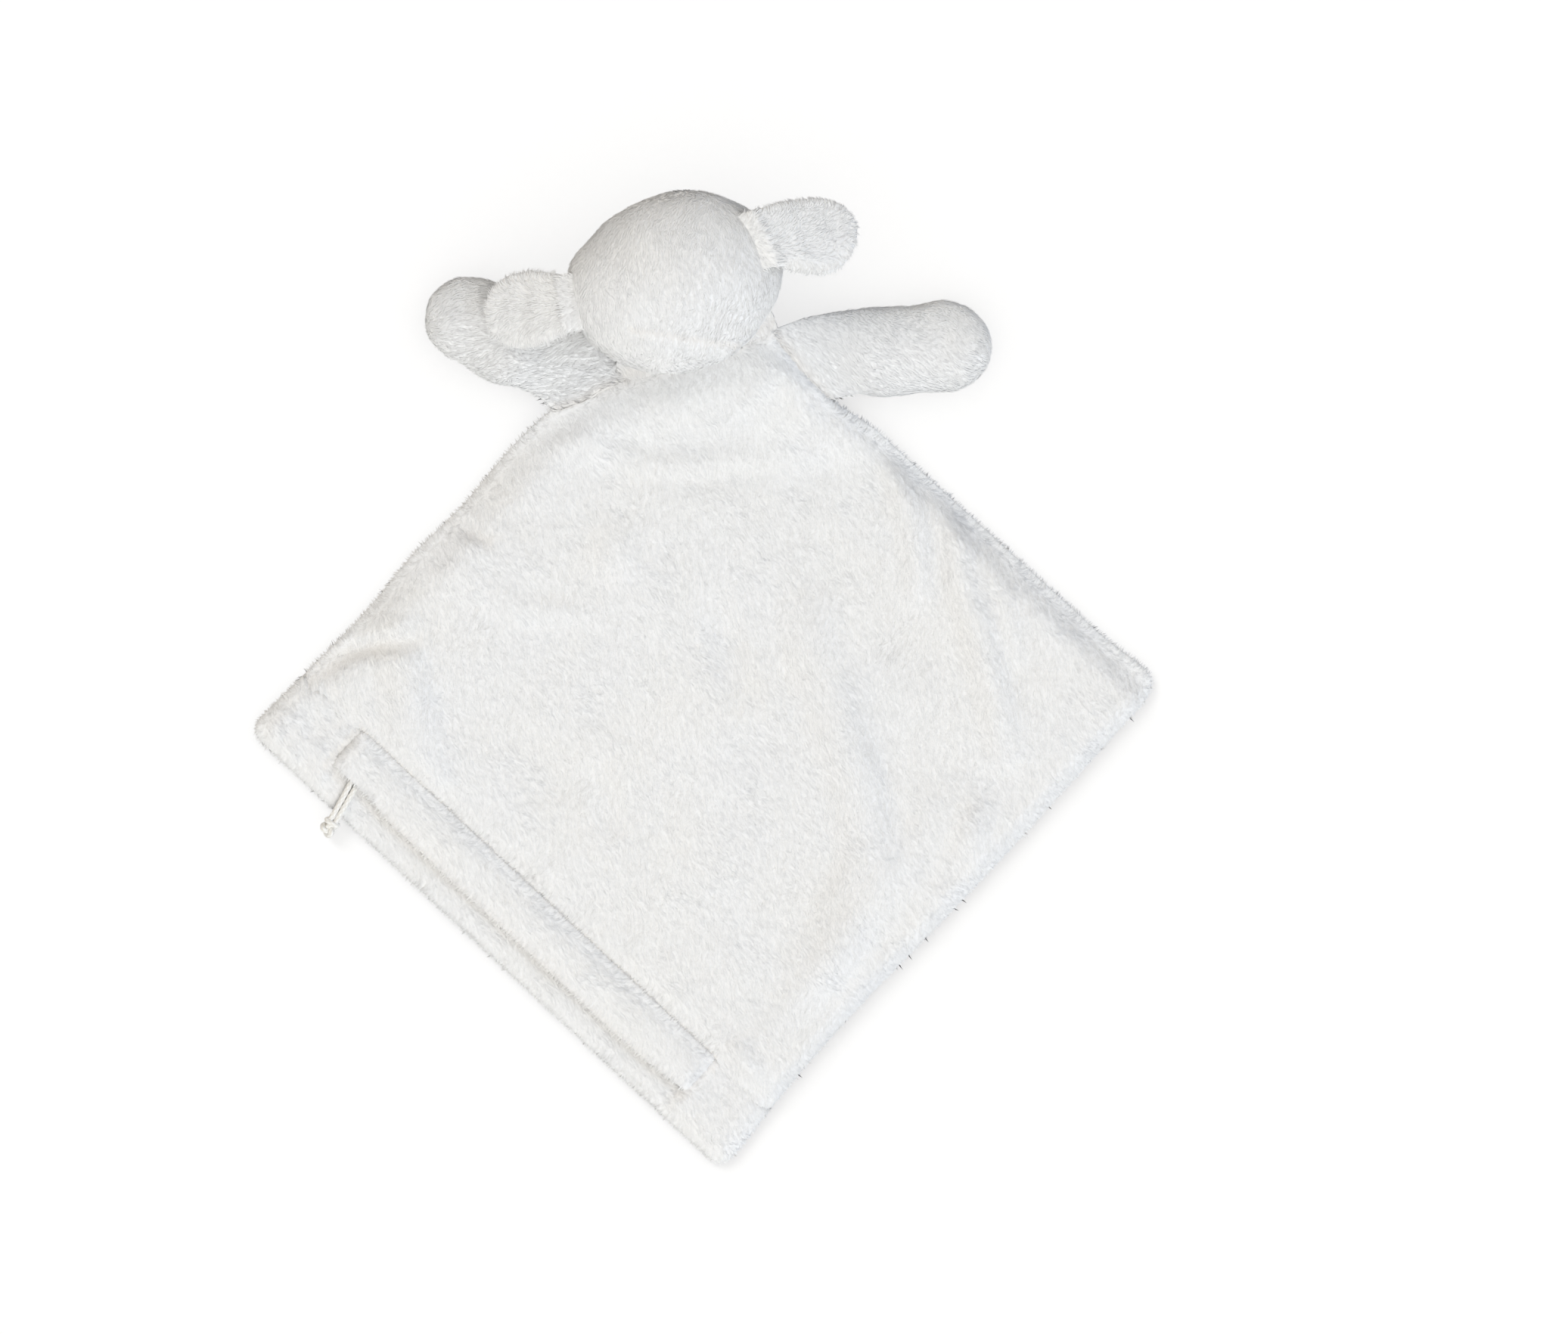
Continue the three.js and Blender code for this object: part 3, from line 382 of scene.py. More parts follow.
lightLook = {
    "ambient": 0.50, "ambientColour": "#FFFEFC",
    "key": {"strength": 0.59, "heading": -86, "height": 50, "colour": "#FFFEFA", "angle": 40},
    "cool fill": {"strength": 0.18, "heading": -3, "height": 24, "colour": "#B8D6FF", "angle": 60},
    "warm fill": {"strength": 0.23, "heading": 124, "height": 26, "colour": "#FFEFD9", "angle": 60},
    "floorGlow": 0.52, "floorColour": "#E6E6E6",
    "floor light": {"strength": 0.22, "heading": 132, "height": 40, "colour": "#FFFFFF", "angle": 30},
}


def sun(name, strength, heading, height, colour, angle, receivers):  # heading is where the light comes from
    lamp = bpy.data.lights.new(name, "SUN")
    lamp.energy = strength * math.pi
    lamp.angle = math.radians(angle)
    lamp.color = linearHex(colour)[:3]
    thing = bpy.data.objects.new(name, lamp)
    bpy.context.scene.collection.objects.link(thing)
    a, e = math.radians(heading), math.radians(height)
    to = Vector((math.cos(a) * math.cos(e), math.sin(a) * math.cos(e), math.sin(e)))
    thing.rotation_mode = "QUATERNION"
    thing.rotation_quaternion = to.to_track_quat("Z", "Y")
    thing.light_linking.receiver_collection = receivers
    return thing


def seenShare(tree):  # 1 for what the camera sees, straight or by way of a mirror or glass, and 0 for light
    path = addNode(tree, "ShaderNodeLightPath").outputs
    straight = maths(tree, "MAXIMUM", path["Is Camera Ray"], path["Is Glossy Ray"])
    return maths(tree, "MAXIMUM", straight, path["Is Transmission Ray"])


def floorAndLight(look):
    size = 6.0
    points = [(-size, -size, 0), (size, -size, 0), (size, size, 0), (-size, size, 0)]
    # White card, matt. It also glows for the eye alone, so that it looks as white as the photo's ground
    material = bpy.data.materials.new("pale floor")
    material.use_nodes = True
    tree = material.node_tree
    tree.nodes.clear()
    glow = maths(tree, "MULTIPLY", seenShare(tree), look["floorGlow"])
    emit = addNode(tree, "ShaderNodeEmission", {"Color": (1, 1, 1, 1), "Strength": glow})
    matt = addNode(tree, "ShaderNodeBsdfDiffuse", {"Color": linearHex(look["floorColour"])})
    both = addNode(tree, "ShaderNodeAddShader", {0: emit.outputs[0], 1: matt.outputs[0]})
    addNode(tree, "ShaderNodeOutputMaterial", {"Surface": both.outputs[0]})
    floor = meshPiece("floor", np.array(points) / mm, [(0, 1, 2, 3)], material, smooth=False)
    floor.location.z = -0.0004

    floorOnly = bpy.data.collections.new("floor only")  # the floor has a light of its own
    floorOnly.objects.link(floor)
    butFloor = bpy.data.collections.new("all but the floor")
    butFloor.objects.link(floor)
    butFloor.collection_objects[0].light_linking.link_state = "EXCLUDE"
    for name in ("key", "cool fill", "warm fill"):
        sun(name, **look[name], receivers=butFloor)
    return sun("floor light", **look["floor light"], receivers=floorOnly)


def studio(look):
    world = bpy.data.worlds.new("studio")
    bpy.context.scene.world = world
    world.use_nodes = True
    tree = world.node_tree
    tree.nodes.clear()
    ambient = {"Color": linearHex(look["ambientColour"]), "Strength": look["ambient"]}
    soft = addNode(tree, "ShaderNodeBackground", ambient)
    white = addNode(tree, "ShaderNodeBackground", {"Color": (1, 1, 1, 1), "Strength": 1.0})
    shaders = {0: seenShare(tree), 1: soft.outputs[0], 2: white.outputs[0]}
    mixed = addNode(tree, "ShaderNodeMixShader", shaders)
    addNode(tree, "ShaderNodeOutputWorld", {"Surface": mixed.outputs[0]})
    bpy.context.scene.view_settings.view_transform = "Standard"


floorLight = floorAndLight(lightLook)
studio(lightLook)
print("camera, cord, floor and light are in place")


# The blanket's plan: along is the distance from the left corner, inward from the lower left side

blanket = {
    "side": 330, "inset": 0.3, "spacing": 2.6,
    "secondLayer": 3.1, "backTop": 5.9,
    "pillowRise": 6, "edgeRoll": 26, "leftRoll": 23, "rightRoll": 13, "upperRoll": 15,
    "seamRoll": 9, "seamShare": 0.62, "neckRoll": 22,
    "creaseDistance": 131.6, "creaseLean": -5.8, "creaseSoftness": 12,
    "neckDistance": 182.4, "neckShift": 3.6, "neckWidth": 79, "neckTilt": 16.9, "neckHeight": 16.5,
    "seamLine": 40.7,
}
cornerReach = blanket["side"] / math.sqrt(2)
climbSlope = blanket["neckHeight"] / (blanket["neckDistance"] - blanket["creaseDistance"])
# Corners of the blanket in shares of its side, each with how far it is eased
lowerOutline = [(0.001, 0.001, 0.03), (1, 0, 0.036), (0.979, 0.24, 0.15), (0.989, 0.6, 0.15),
                (0.984, 1.018, 0.05), (0.88, 1.005, 0.03)]
upperLeftOutline = [(0, 0.61, 0.05), (0.009, 0.48, 0.05), (0.001, 0.37, 0.05), (0.011, 0.27, 0.05)]
armSeams = {"left": (38.3, 198.4), "right": (46.8, -52.3)}

# Folds of the back layer: half width, height and the way each runs
folds = [
    (10, 1.8, [(-92, 150), (-84, 146.5), (-50, 136), (-23, 128.5), (10, 129), (50, 130), (75, 134)]),
    (20, 4.8, [(54, 62), (58, 30), (66, 0), (76, -40), (80, -75), (64, -112), (32, -150)]),
    (15, 2.4, [(118, -44), (104, -70), (84, -100), (58, -130), (22, -172)]),
    (13, 4.6, [(118, 128), (130, 93), (137, 50), (145, 11), (155, -34)]),
    (9, 1.8, [(143, 88), (151, 55), (160, 18)]),
    (11, 3.0, [(98, 140), (103, 110), (108, 84), (110, 50)]),
    (10, 2.0, [(-138, 82), (-105, 65), (-87, 57), (-50, 51)]),
    (24, 1.8, [(-126, 100), (-98, 86), (-66, 78)]),
    (18, 4.0, [(-164, 66), (-153, 30), (-147, -6), (-139, -36)]),
    (16, 1.9, [(-38, 106), (-46, 68)]),
    (9, 1.5, [(18, 152), (42, 172)]),
    (13, 2.4, [(140, -46), (128, -84)]),
    (12, 2.0, [(8, -166), (17, -190)]),
    (7.5, -5.4, [(-212, 18), (-184, 35.5), (-165, 40.5), (-142, 46)]),
    (8, -4.2, [(-132, 106), (-120, 99), (-104, 90)]),
    (13, -2.0, [(4, 62), (12, 34), (22, 2)]),
    (8, -2.4, [(56, 164), (66, 152), (76, 142)]),
    (6, -1.6, [(-80, 154), (-66, 160), (-48, 160)]),
    (12, -1.4, [(-60, -20), (-44, -62)]),
]


def toBlanket(x, y):
    return (x + cornerReach - y) / math.sqrt(2), (x + cornerReach + y) / math.sqrt(2)


def toPlan(along, inward):
    return (along + inward) / math.sqrt(2) - cornerReach, (inward - along) / math.sqrt(2)


def polar(distance, degrees, start):
    turn = math.radians(degrees)
    return np.array([start[0] + distance * math.cos(turn), start[1] + distance * math.sin(turn)])


neckCentre = np.array([blanket["neckShift"], blanket["neckDistance"]], float)
neckRight = polar(blanket["neckWidth"] / 2, blanket["neckTilt"], neckCentre)
neckLeft = polar(-blanket["neckWidth"] / 2, blanket["neckTilt"], neckCentre)
shoulderRight = polar(*armSeams["right"], neckRight)
shoulderLeft = polar(*armSeams["left"], neckLeft)


def rounded(corners, spacing):  # points along an outline whose corners are eased
    count, out = len(corners), []
    for i, corner in enumerate(corners):
        here = np.array(corner[:2], float)
        ease = corner[2] if len(corner) > 2 else 0
        before = here + ease * unit(np.array(corners[i - 1][:2], float) - here)
        after = here + ease * unit(np.array(corners[(i + 1) % count][:2], float) - here)
        t = np.linspace(0, 1, 9 if ease else 1)[:, None]
        out.append((1 - t) ** 2 * before + 2 * t * (1 - t) * here + t ** 2 * after if ease else here[None])
    line = np.vstack(out + [out[0][:1]])
    far = runLength(line)
    return sampled(line, far, np.linspace(0, far[-1], int(far[-1] / spacing), endpoint=False))


def blanketOutline(spacing):
    lower, upperLeft = ([tuple(s * blanket["side"] for s in row) for row in rows]
                        for rows in (lowerOutline, upperLeftOutline))
    far = toBlanket(*shoulderRight)
    top = [(far[0] + blanket["edgeRoll"], blanket["side"]), far]
    top += [toBlanket(*place) for place in (neckRight, neckLeft, shoulderLeft)]
    return rounded(lower + top + upperLeft, spacing)


def inside(points, outline):
    a, b = outline, np.roll(outline, -1, 0)
    x, y = points[:, :1], points[:, 1:]
    crosses = (a[:, 1] > y) != (b[:, 1] > y)
    slope = (b[:, 0] - a[:, 0]) / np.where(b[:, 1] == a[:, 1], 1e-9, b[:, 1] - a[:, 1])
    return ((crosses & (x < a[:, 0] + slope * (y - a[:, 1]))).sum(1) % 2) == 1


def toEdge(points, line):  # distance to a closed line
    a, step = line, np.roll(line, -1, 0) - line
    out = np.empty(len(points))
    for k in range(0, len(points), 4000):
        v = points[k:k + 4000, None] - a[None]
        t = np.clip((v * step).sum(2) / np.maximum((step ** 2).sum(1), 1e-12), 0, 1)
        out[k:k + 4000] = np.sqrt((((v - t[..., None] * step) ** 2).sum(2)).min(1))
    return out


def insetLine(line, distance):
    ahead = unit(np.roll(line, -1, 0) - np.roll(line, 1, 0))
    return line + distance * np.stack([-ahead[:, 1], ahead[:, 0]], 1)  # anticlockwise line


def clothShell(outline, spacing, heights, steps=(0.35, 1.1, 2.2, 3.7)):
    # A closed layer over an outline: heights(points, distance to the edge) gives its top and underside
    rings = [insetLine(outline, s) for s in steps]
    rings = [ring[toEdge(ring, outline) > 0.93 * s] for ring, s in zip(rings, steps)]
    low, high = outline.min(0), outline.max(0)
    gx, gy = np.meshgrid(np.arange(low[0], high[0], spacing), np.arange(low[1], high[1], spacing))
    gx = gx + (np.arange(gx.shape[0]) % 2)[:, None] * spacing / 2
    grid = np.stack([gx.ravel(), gy.ravel()], 1)
    grid = grid[inside(grid, outline)]
    grid = grid[toEdge(grid, outline) > steps[-1] + 0.45 * spacing]
    flat = np.vstack([outline] + rings + [grid])
    count = len(outline)
    placed, _, triangles, sources, _, _ = delaunay_2d_cdt([Vector(p) for p in flat], [],
                                                          [list(range(count))], 1, 1e-5)
    flat = np.array([p[:] for p in placed])
    where = {}
    for new, olds in enumerate(sources):
        for old in olds:
            where[old] = new
    edge = [where[k] for k in range(count)]
    triangles = np.array([t for t in triangles if len(t) == 3])
    area = np.cross(flat[triangles[:, 1]] - flat[triangles[:, 0]],
                    flat[triangles[:, 2]] - flat[triangles[:, 0]])
    triangles[area < 0] = triangles[area < 0][:, ::-1]
    distance = toEdge(flat, outline)
    distance[edge] = 0
    top, under = heights(flat, distance)
    n = len(flat)
    points = np.vstack([np.column_stack([flat, top]), np.column_stack([flat, under])])
    faces = triangles.tolist() + (triangles[:, ::-1] + n).tolist()
    for a, b in zip(edge, edge[1:] + edge[:1]):
        faces.append((a, a + n, b + n, b))
    return points, faces, np.concatenate([distance, distance]), n


def rollEdge(distance, radius):  # 0 on the edge to 1 where the cloth is full
    return np.sqrt(np.clip(1 - (1 - np.clip(distance / radius, 0, 1)) ** 2, 0, 1))


def climb(x, y):
    lean = math.radians(blanket["creaseLean"])
    past = (y - blanket["creaseDistance"] - x * math.tan(lean)) * math.cos(lean)
    soft = blanket["creaseSoftness"]
    eased = climbSlope * (past + soft) ** 2 / (4 * soft)
    return np.where(past <= -soft, 0, np.where(past >= soft, climbSlope * past, eased))


def foldHeight(x, y, rows):  # each fold dies away towards both its ends
    height = np.zeros_like(x)
    for half, rise, way in rows:
        line = smoothPath([(px, py, 0) for px, py in way], 1.5)
        away = np.hypot(x[:, None] - line[None, :, 0], y[:, None] - line[None, :, 1])
        nearest = away.argmin(1)
        far = nearest / (len(line) - 1)
        near = np.minimum(1, away[np.arange(len(x)), nearest] / half)
        height += rise * (1 - near ** 2) ** 2 * np.sin(math.pi * np.clip(far, 0, 1)) ** 0.7
    return height


def belowNeck(x, y):  # distance from the neck's seam, down the blanket
    tilt = math.radians(blanket["neckTilt"])
    return (blanket["neckDistance"] - y) * math.cos(tilt) + (x - blanket["neckShift"]) * math.sin(tilt)


def backOver(along, inward):  # height of the puffed back layer
    b = blanket
    outer = smoothstep(along, 0, b["leftRoll"]) * smoothstep(b["side"] - along, 0, b["rightRoll"])
    outer = outer * smoothstep(b["side"] - inward, 0, b["upperRoll"])
    beside = lerp(b["seamShare"], 1, smoothstep(inward - b["seamLine"], 0, b["seamRoll"]))
    x, y = toPlan(along, inward)
    besideNeck = smoothstep(belowNeck(x, y), 0, b["neckRoll"])
    here = np.stack([x, y], 1)
    wx = x + 2 * softNoise(here, 50, 3)
    wy = y + 2 * softNoise(here, 50, 4)
    lumps = 0.45 * softNoise(here, 52, 5) + 0.16 * softNoise(here, 20, 6)
    puff = np.maximum(0, b["pillowRise"] + foldHeight(wx, wy, folds) + lumps)
    return b["backTop"] + climb(x, y) + puff * outer * beside * besideNeck


def flowTo(points, degrees):  # the way the pile lies, in plan
    turn = np.radians(np.broadcast_to(degrees, len(points)))
    return np.stack([np.cos(turn), np.sin(turn), np.zeros(len(points))], 1)


def outwardWay(points, outline):  # level, away from the outline at its nearest point
    ahead = unit(np.roll(outline, -1, 0) - np.roll(outline, 1, 0))
    out = np.stack([ahead[:, 1], -ahead[:, 0]], 1)
    nearest = np.empty(len(points), int)
    for k in range(0, len(points), 4000):
        nearest[k:k + 4000] = ((points[k:k + 4000, None] - outline[None]) ** 2).sum(2).argmin(1)
    return out[nearest]


def overEdge(flow, outward, distance, reach=6.5):  # near an edge the pile lies outwards and over it
    share = (1 - smoothstep(distance, 1.5, reach))[:, None]
    return lerp(flow, 1.8 * np.column_stack([outward, np.full(len(outward), -0.3)]), share)


# the sixth argument is how much painted shade a point gets, in seams and creases
def clothPiece(name, points, faces, share, flow, crevice):  # share is how densely the pile grows
    attributes = {"pileShare": share, "flow": flow, "crevice": crevice}
    return meshPiece(name, points, faces, clothMaterial, attributes)


def fromSides(along):
    return np.minimum(along, blanket["side"] - along)


def layerPiece(name, outline, spacing, heights, flow, crevice, bareUnder, **extra):
    flat, faces, distance, n = clothShell(outline, spacing, heights, **extra)
    x, y = toPlan(flat[:, 0], flat[:, 1])
    out = outwardWay(flat[:, :2], outline)
    out = np.stack([out[:, 0] + out[:, 1], out[:, 1] - out[:, 0]], 1) / math.sqrt(2)
    offSeam = np.abs(flat[:, 1] - blanket["seamLine"])
    joined = offSeam < fromSides(flat[:, 0])
    acrossSeam = 12 * beyondFlap(flat[:, 0]) * joined * smoothstep(offSeam, 8, 3)
    points = np.column_stack([x, y, flat[:, 2]])
    share = np.ones(len(points))
    share[n:] = np.where(distance[n:] < 5, 0.0, 0.0 if bareUnder else 0.45)
    lying = overEdge(flowTo(points, flow), out, distance + acrossSeam)
    return clothPiece(name, points, faces, share, lying, crevice(points, distance))


def cutOutline(outline, low, high):  # the part of an outline between two distances inward
    def clip(line, sign, limit):
        out = []
        for a, b in zip(line, np.roll(line, -1, 0)):
            ina, inb = sign * (a[1] - limit) >= 0, sign * (b[1] - limit) >= 0
            if ina:
                out.append(a)
            if ina != inb:
                out.append(a + (b - a) * (limit - a[1]) / (b[1] - a[1]))
        return np.array(out)
    return clip(clip(outline, 1, low), -1, high)


def evenly(line, spacing):
    closed = np.vstack([line, line[:1]])
    far = runLength(closed)
    return sampled(closed, far, np.linspace(0, far[-1], int(far[-1] / spacing), endpoint=False))


plan = insetLine(blanketOutline(2.2), blanket["inset"])


def beyondFlap(along):  # 1 beside the seam's ends, where no flap lies
    return np.maximum(smoothstep(along, 44, 36), smoothstep(along, 288, 296))


def backLayer():
    outline = evenly(cutOutline(plan, blanket["seamLine"] - 0.5, 400), 2.4)
    onSeam = np.abs(outline[:, 1] - blanket["seamLine"] + 0.5) < 0.3
    outline[:, 1] -= 3 * onSeam * beyondFlap(outline[:, 0]) * smoothstep(fromSides(outline[:, 0]), 3, 9)

    def heights(flat, distance):
        full = backOver(flat[:, 0], flat[:, 1]) - 0.9
        base = blanket["secondLayer"] + climb(*toPlan(flat[:, 0], flat[:, 1]))
        seam = smoothstep(flat[:, 1] - blanket["seamLine"], 2, 10)
        past = beyondFlap(flat[:, 0])
        atSides = 4.9 * smoothstep(fromSides(flat[:, 0]), 1, 12)
        low = lerp(base + lerp(5.2, atSides, past), base + 0.1, seam)
        full = full - 0.4 * past * (1 - smoothstep(flat[:, 1] - blanket["seamLine"], 0, 10))
        top = low + np.maximum(0, full - low) * rollEdge(distance, lerp(2.6, 8, seam))
        return top, np.minimum(top - 0.4, np.maximum(base, full - 2.4))

    # Painted shade along the seam beside the flap, along the neck's seam and in the deepest fold valleys
    def crevice(points, distance):
        along, inward = toBlanket(points[:, 0], points[:, 1])
        besideFlap = np.where((along > zip_["flapStart"]) & (along < zip_["flapEnd"]), 0.12, 0.0)
        atSeam = np.exp(-((inward - blanket["seamLine"]) / 1.0) ** 2) * besideFlap
        atNeck = np.exp(-(belowNeck(points[:, 0], points[:, 1]) / 5) ** 2) * 0.12
        valleys = -foldHeight(points[:, 0], points[:, 1], [row for row in folds if row[1] < -4]) / 5
        return np.clip(atSeam + atNeck + 0.07 * valleys, 0, 1)

    piece = layerPiece("back_layer", outline, blanket["spacing"], heights, -70, crevice, True)
    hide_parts("back_panel")
    return piece


def frontLayer():
    outline = evenly(insetLine(plan, 1.0), 2.4)

    def heights(flat, distance):
        lift = climb(*toPlan(flat[:, 0], flat[:, 1]))
        round_ = rollEdge(distance, 3.2)
        return lift + 2.3 - 0.2 * (1 - round_), lift + 0.6 + 0.9 * (1 - round_)

    piece = layerPiece("front_layer", outline, 4.2, heights, -90, lambda p, d: np.zeros(len(p)), False)
    count = len(piece.data.vertices)
    thinPile(piece.data, np.arange(count) >= count // 2)  # its upper side lies against the back layer, bare
    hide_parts("front_panel")
    return piece


# The zip's side of the blanket: distances along and inward, then heights of the flap's underside and top
zip_ = {
    "flapStart": 42, "flapEnd": 290, "flapEdge": 16.5, "flapRun": 8, "flapEndRun": 7, "zipLine": 27,
    "windowStart": 46, "windowEnd": 286, "hemEdge": 21.5,
    "flapSeat": 6.5, "flapCrown": 10.3, "cordClear": 9.4,
    "rootTop": 9.2, "crownTop": 11.5, "edgeTop": 10.3, "endTop": 8.6,
}


def hemStrip():
    z = zip_
    outer = cutOutline(plan, -20, blanket["seamLine"] - 0.25)
    inner = blanket["seamLine"] - 0.25
    left = outer[np.abs(outer[:, 1] - inner) < 1e-6, 0].min()
    start = int(np.argmin(np.hypot(outer[:, 0] - left, outer[:, 1] - inner)))
    ring = np.roll(outer, -start, 0)  # from the left end round the lower side to the right end
    near, far, edge = z["windowStart"], z["windowEnd"], z["hemEdge"]
    window = np.array([(far, inner), (far, edge), (near, edge), (near, inner)])
    outline = evenly(np.vstack([ring, window]), 2.2)

    def heights(flat, distance):
        along, inward = flat[:, 0], flat[:, 1]
        outside = np.minimum(fromSides(along), inward)
        seam = blanket["secondLayer"] + 0.1
        here = np.stack([along, inward], 1)
        full = 6.0 + 0.3 * softNoise(here, 26, 8) * smoothstep(distance, 0, 5)
        atLeft = smoothstep(46 - along, 0, 20)
        full = full + 1.1 * softNoise(here, 13, 9) * atLeft * smoothstep(distance, 0, 5)
        ends = np.maximum(smoothstep(along, near + 1, near - 2.5), smoothstep(along, far - 1, far + 2.5))
        full = full + 2.2 * ends * smoothstep(outside, 2, 12)
        low = np.where(outside < 12, seam, seam + lerp(1.9, 4.5, beyondFlap(along)))
        top = low + (full - low) * rollEdge(distance, np.where(outside < 12, 6, 2.5))
        return top, np.minimum(top - 0.35, seam + 0.15)

    # Painted shade under the flap's free edge and along the seam
    def crevice(points, distance):
        along, inward = toBlanket(points[:, 0], points[:, 1])
        under = smoothstep(inward, 11, 14) * (along > 40) * (along < 292)
        return np.clip(0.08 * under + 0.06 * np.exp(-((inward - 40.5) / 1.2) ** 2), 0, 1)

    piece = layerPiece("hem_strip", outline, 2.6, heights, -60, crevice, True, steps=(0.35, 1.1, 2.2))
    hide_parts("hem_panel")
    return piece


def zipFlap():
    z = zip_
    root = blanket["seamLine"] - 0.15
    start, end, edge = z["flapStart"] + 0.8, z["flapEnd"] - 0.8, z["flapEdge"] + 0.8
    outline = rounded([(start, edge, 3), (end, edge, 3), (end, root, 1.5), (start, root, 1.5)], 2.0)
    along = outline[:, 0]
    fuller = 2.6 + 0.5 * softNoise(outline, 45, 14)  # the free edge bulges between its ends
    fuller = fuller * smoothstep(along, 66, 92) * smoothstep(z["flapEnd"] - along, 0, 38)
    outline[:, 1] -= fuller * smoothstep(root - outline[:, 1], 6, root - z["flapEdge"] - 1)
    lift = z["flapCrown"] - z["flapSeat"]
    fallTo = (z["flapCrown"] - z["cordClear"]) / lift

    def heights(flat, distance):
        along, inward = flat[:, 0], flat[:, 1]
        run = z["flapEndRun"]
        ends = smoothstep(along - z["flapStart"], 0, run) * smoothstep(z["flapEnd"] - along, 0, run)
        rise = smoothstep(root - inward, 0, z["flapRun"])
        fall = 1 - fallTo * smoothstep(z["zipLine"] - inward, 0, z["zipLine"] - z["flapEdge"])
        under = z["flapSeat"] + lift * ends * rise * fall
        here = np.stack([along, inward], 1)
        puff = 0.3 * softNoise(here, 34, 11) + 0.12 * softNoise(here, 13, 12)
        over = lerp(z["rootTop"], z["crownTop"], smoothstep(root - inward, 0, 11))
        pastZip = smoothstep(z["zipLine"] - 2 - inward, 0, z["zipLine"] - 2 - z["flapEdge"])
        over = lerp(over, z["edgeTop"], pastZip)
        over = lerp(np.minimum(over, z["endTop"]), over, ends)
        full = np.maximum(over + puff * smoothstep(distance, 0, 6), under + 0.8)
        atRoot = (root - inward < 3) & (root - inward <= distance + 0.3)
        nearEnd = np.minimum(along - z["flapStart"], z["flapEnd"] - along) < distance + 1
        low = np.where(atRoot, full - 0.9, np.maximum(under + 0.2, full - np.where(nearEnd, 1.8, 3.0)))
        top = low + (full - low) * rollEdge(distance, np.where(atRoot, 1.5, 2.6))
        return top, np.minimum(under + 0.35 * (1 - rollEdge(distance, 2)) + 0.1, top - 0.35)

    # Painted shade along the flap's root seam, its free edge and its ends
    def crevice(points, distance):
        along, inward = toBlanket(points[:, 0], points[:, 1])
        free = np.exp(-((inward - z["flapEdge"] + 1.5) / 2.2) ** 2)
        ends = sum(np.exp(-((along - z[end]) / 1.4) ** 2) for end in ("flapStart", "flapEnd"))
        return np.clip(0.12 * np.exp(-((inward - 40.5) / 1.0) ** 2) + 0.08 * free + 0.03 * ends, 0, 1)

    piece = layerPiece("zip_flap_layer", outline, 2.4, heights, -60, crevice, False, steps=(0.35, 1.1, 2.2))
    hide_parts("zip_flap")
    return piece


layers = {"back": backLayer(), "hem": hemStrip(), "flap": zipFlap(), "front": frontLayer()}
for piece in layers.values():
    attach(piece, "blanket")
print("blanket layers are made")


# Head, a stuffed ball that lies on its muzzle, with +Y towards the crown and -Z the face

head = {
    "size": (114, 94, 76), "centre": (-5.7, 218.5, 48), "tilt": 20, "taper": 0.08, "inset": 2.2,
    "swell": 1.6, "quickSwell": 0.7, "heldBelow": 16, "detail": 6,
    "muzzle": (48, 38, 36), "muzzleDrop": 30, "muzzleRoot": 19,
    "fuller": [(3.0, 172, 16), (-1.5, 52, 22)],  # growth in plan, where and over how many degrees
}
headTurn = Matrix.Translation(Vector(head["centre"])) @ Matrix.Rotation(math.radians(head["tilt"]), 4, "Z")
headMatrix = np.array(headTurn)


fillingPressure = 4
swellFrames = 20


def swell(points, faces, held, cap):
    # The cover is blown up by its filling in Blender's cloth, and no point moves more than cap millimetres
    mesh = bpy.data.meshes.new("swelling")
    mesh.from_pydata((points * mm).tolist(), [], [tuple(map(int, f)) for f in faces])
    cover = bpy.data.objects.new("swelling", mesh)
    bpy.context.scene.collection.objects.link(cover)
    group = cover.vertex_groups.new(name="held")
    for k in np.nonzero(held > 0.02)[0]:
        group.add([int(k)], float(held[k]), "REPLACE")
    cloth = cover.modifiers.new("cloth", "CLOTH")
    cloth.settings.quality = 4
    cloth.settings.use_pressure = True
    cloth.settings.uniform_pressure_force = fillingPressure
    cloth.settings.effector_weights.gravity = 0
    cloth.settings.vertex_group_mass = "held"
    cloth.point_cache.frame_start, cloth.point_cache.frame_end = 1, swellFrames
    for frameNumber in range(1, swellFrames + 1):
        bpy.context.scene.frame_set(frameNumber)
    shown = cover.evaluated_get(bpy.context.evaluated_depsgraph_get())
    moved = fetched(shown.data.vertices, "co", 3)
    bpy.context.scene.frame_set(1)
    bpy.data.objects.remove(cover)
    step = moved / mm - points
    far = np.linalg.norm(step, axis=1, keepdims=True)
    print("swelling: mean", round(float(far.mean()), 2), "most", round(float(far.max()), 2), "mm")
    return step * np.minimum(1, cap / np.maximum(far, 1e-9))


def intoWorld(points, matrix):
    return points @ matrix[:3, :3].T + matrix[:3, 3]


def ballMesh(detail):  # an even ball of radius 1
    bm = bmesh.new()
    bmesh.ops.create_icosphere(bm, subdivisions=detail, radius=1)
    points = np.array([v.co[:] for v in bm.verts])
    faces = [[v.index for v in f.verts] for f in bm.faces]
    bm.free()
    return points, faces


def carried(coarse, step, points):  # the coarse mesh's movement at finer points
    tree = KDTree(len(coarse))
    for k, v in enumerate(coarse):
        tree.insert(v, k)
    tree.balance()
    out = np.empty_like(points)
    for k, v in enumerate(points):
        near = tree.find_n(v, 4)
        weight = np.array([1 / (0.05 + n[2]) for n in near])
        out[k] = (step[[n[1] for n in near]] * weight[:, None]).sum(0) / weight.sum()
    return out


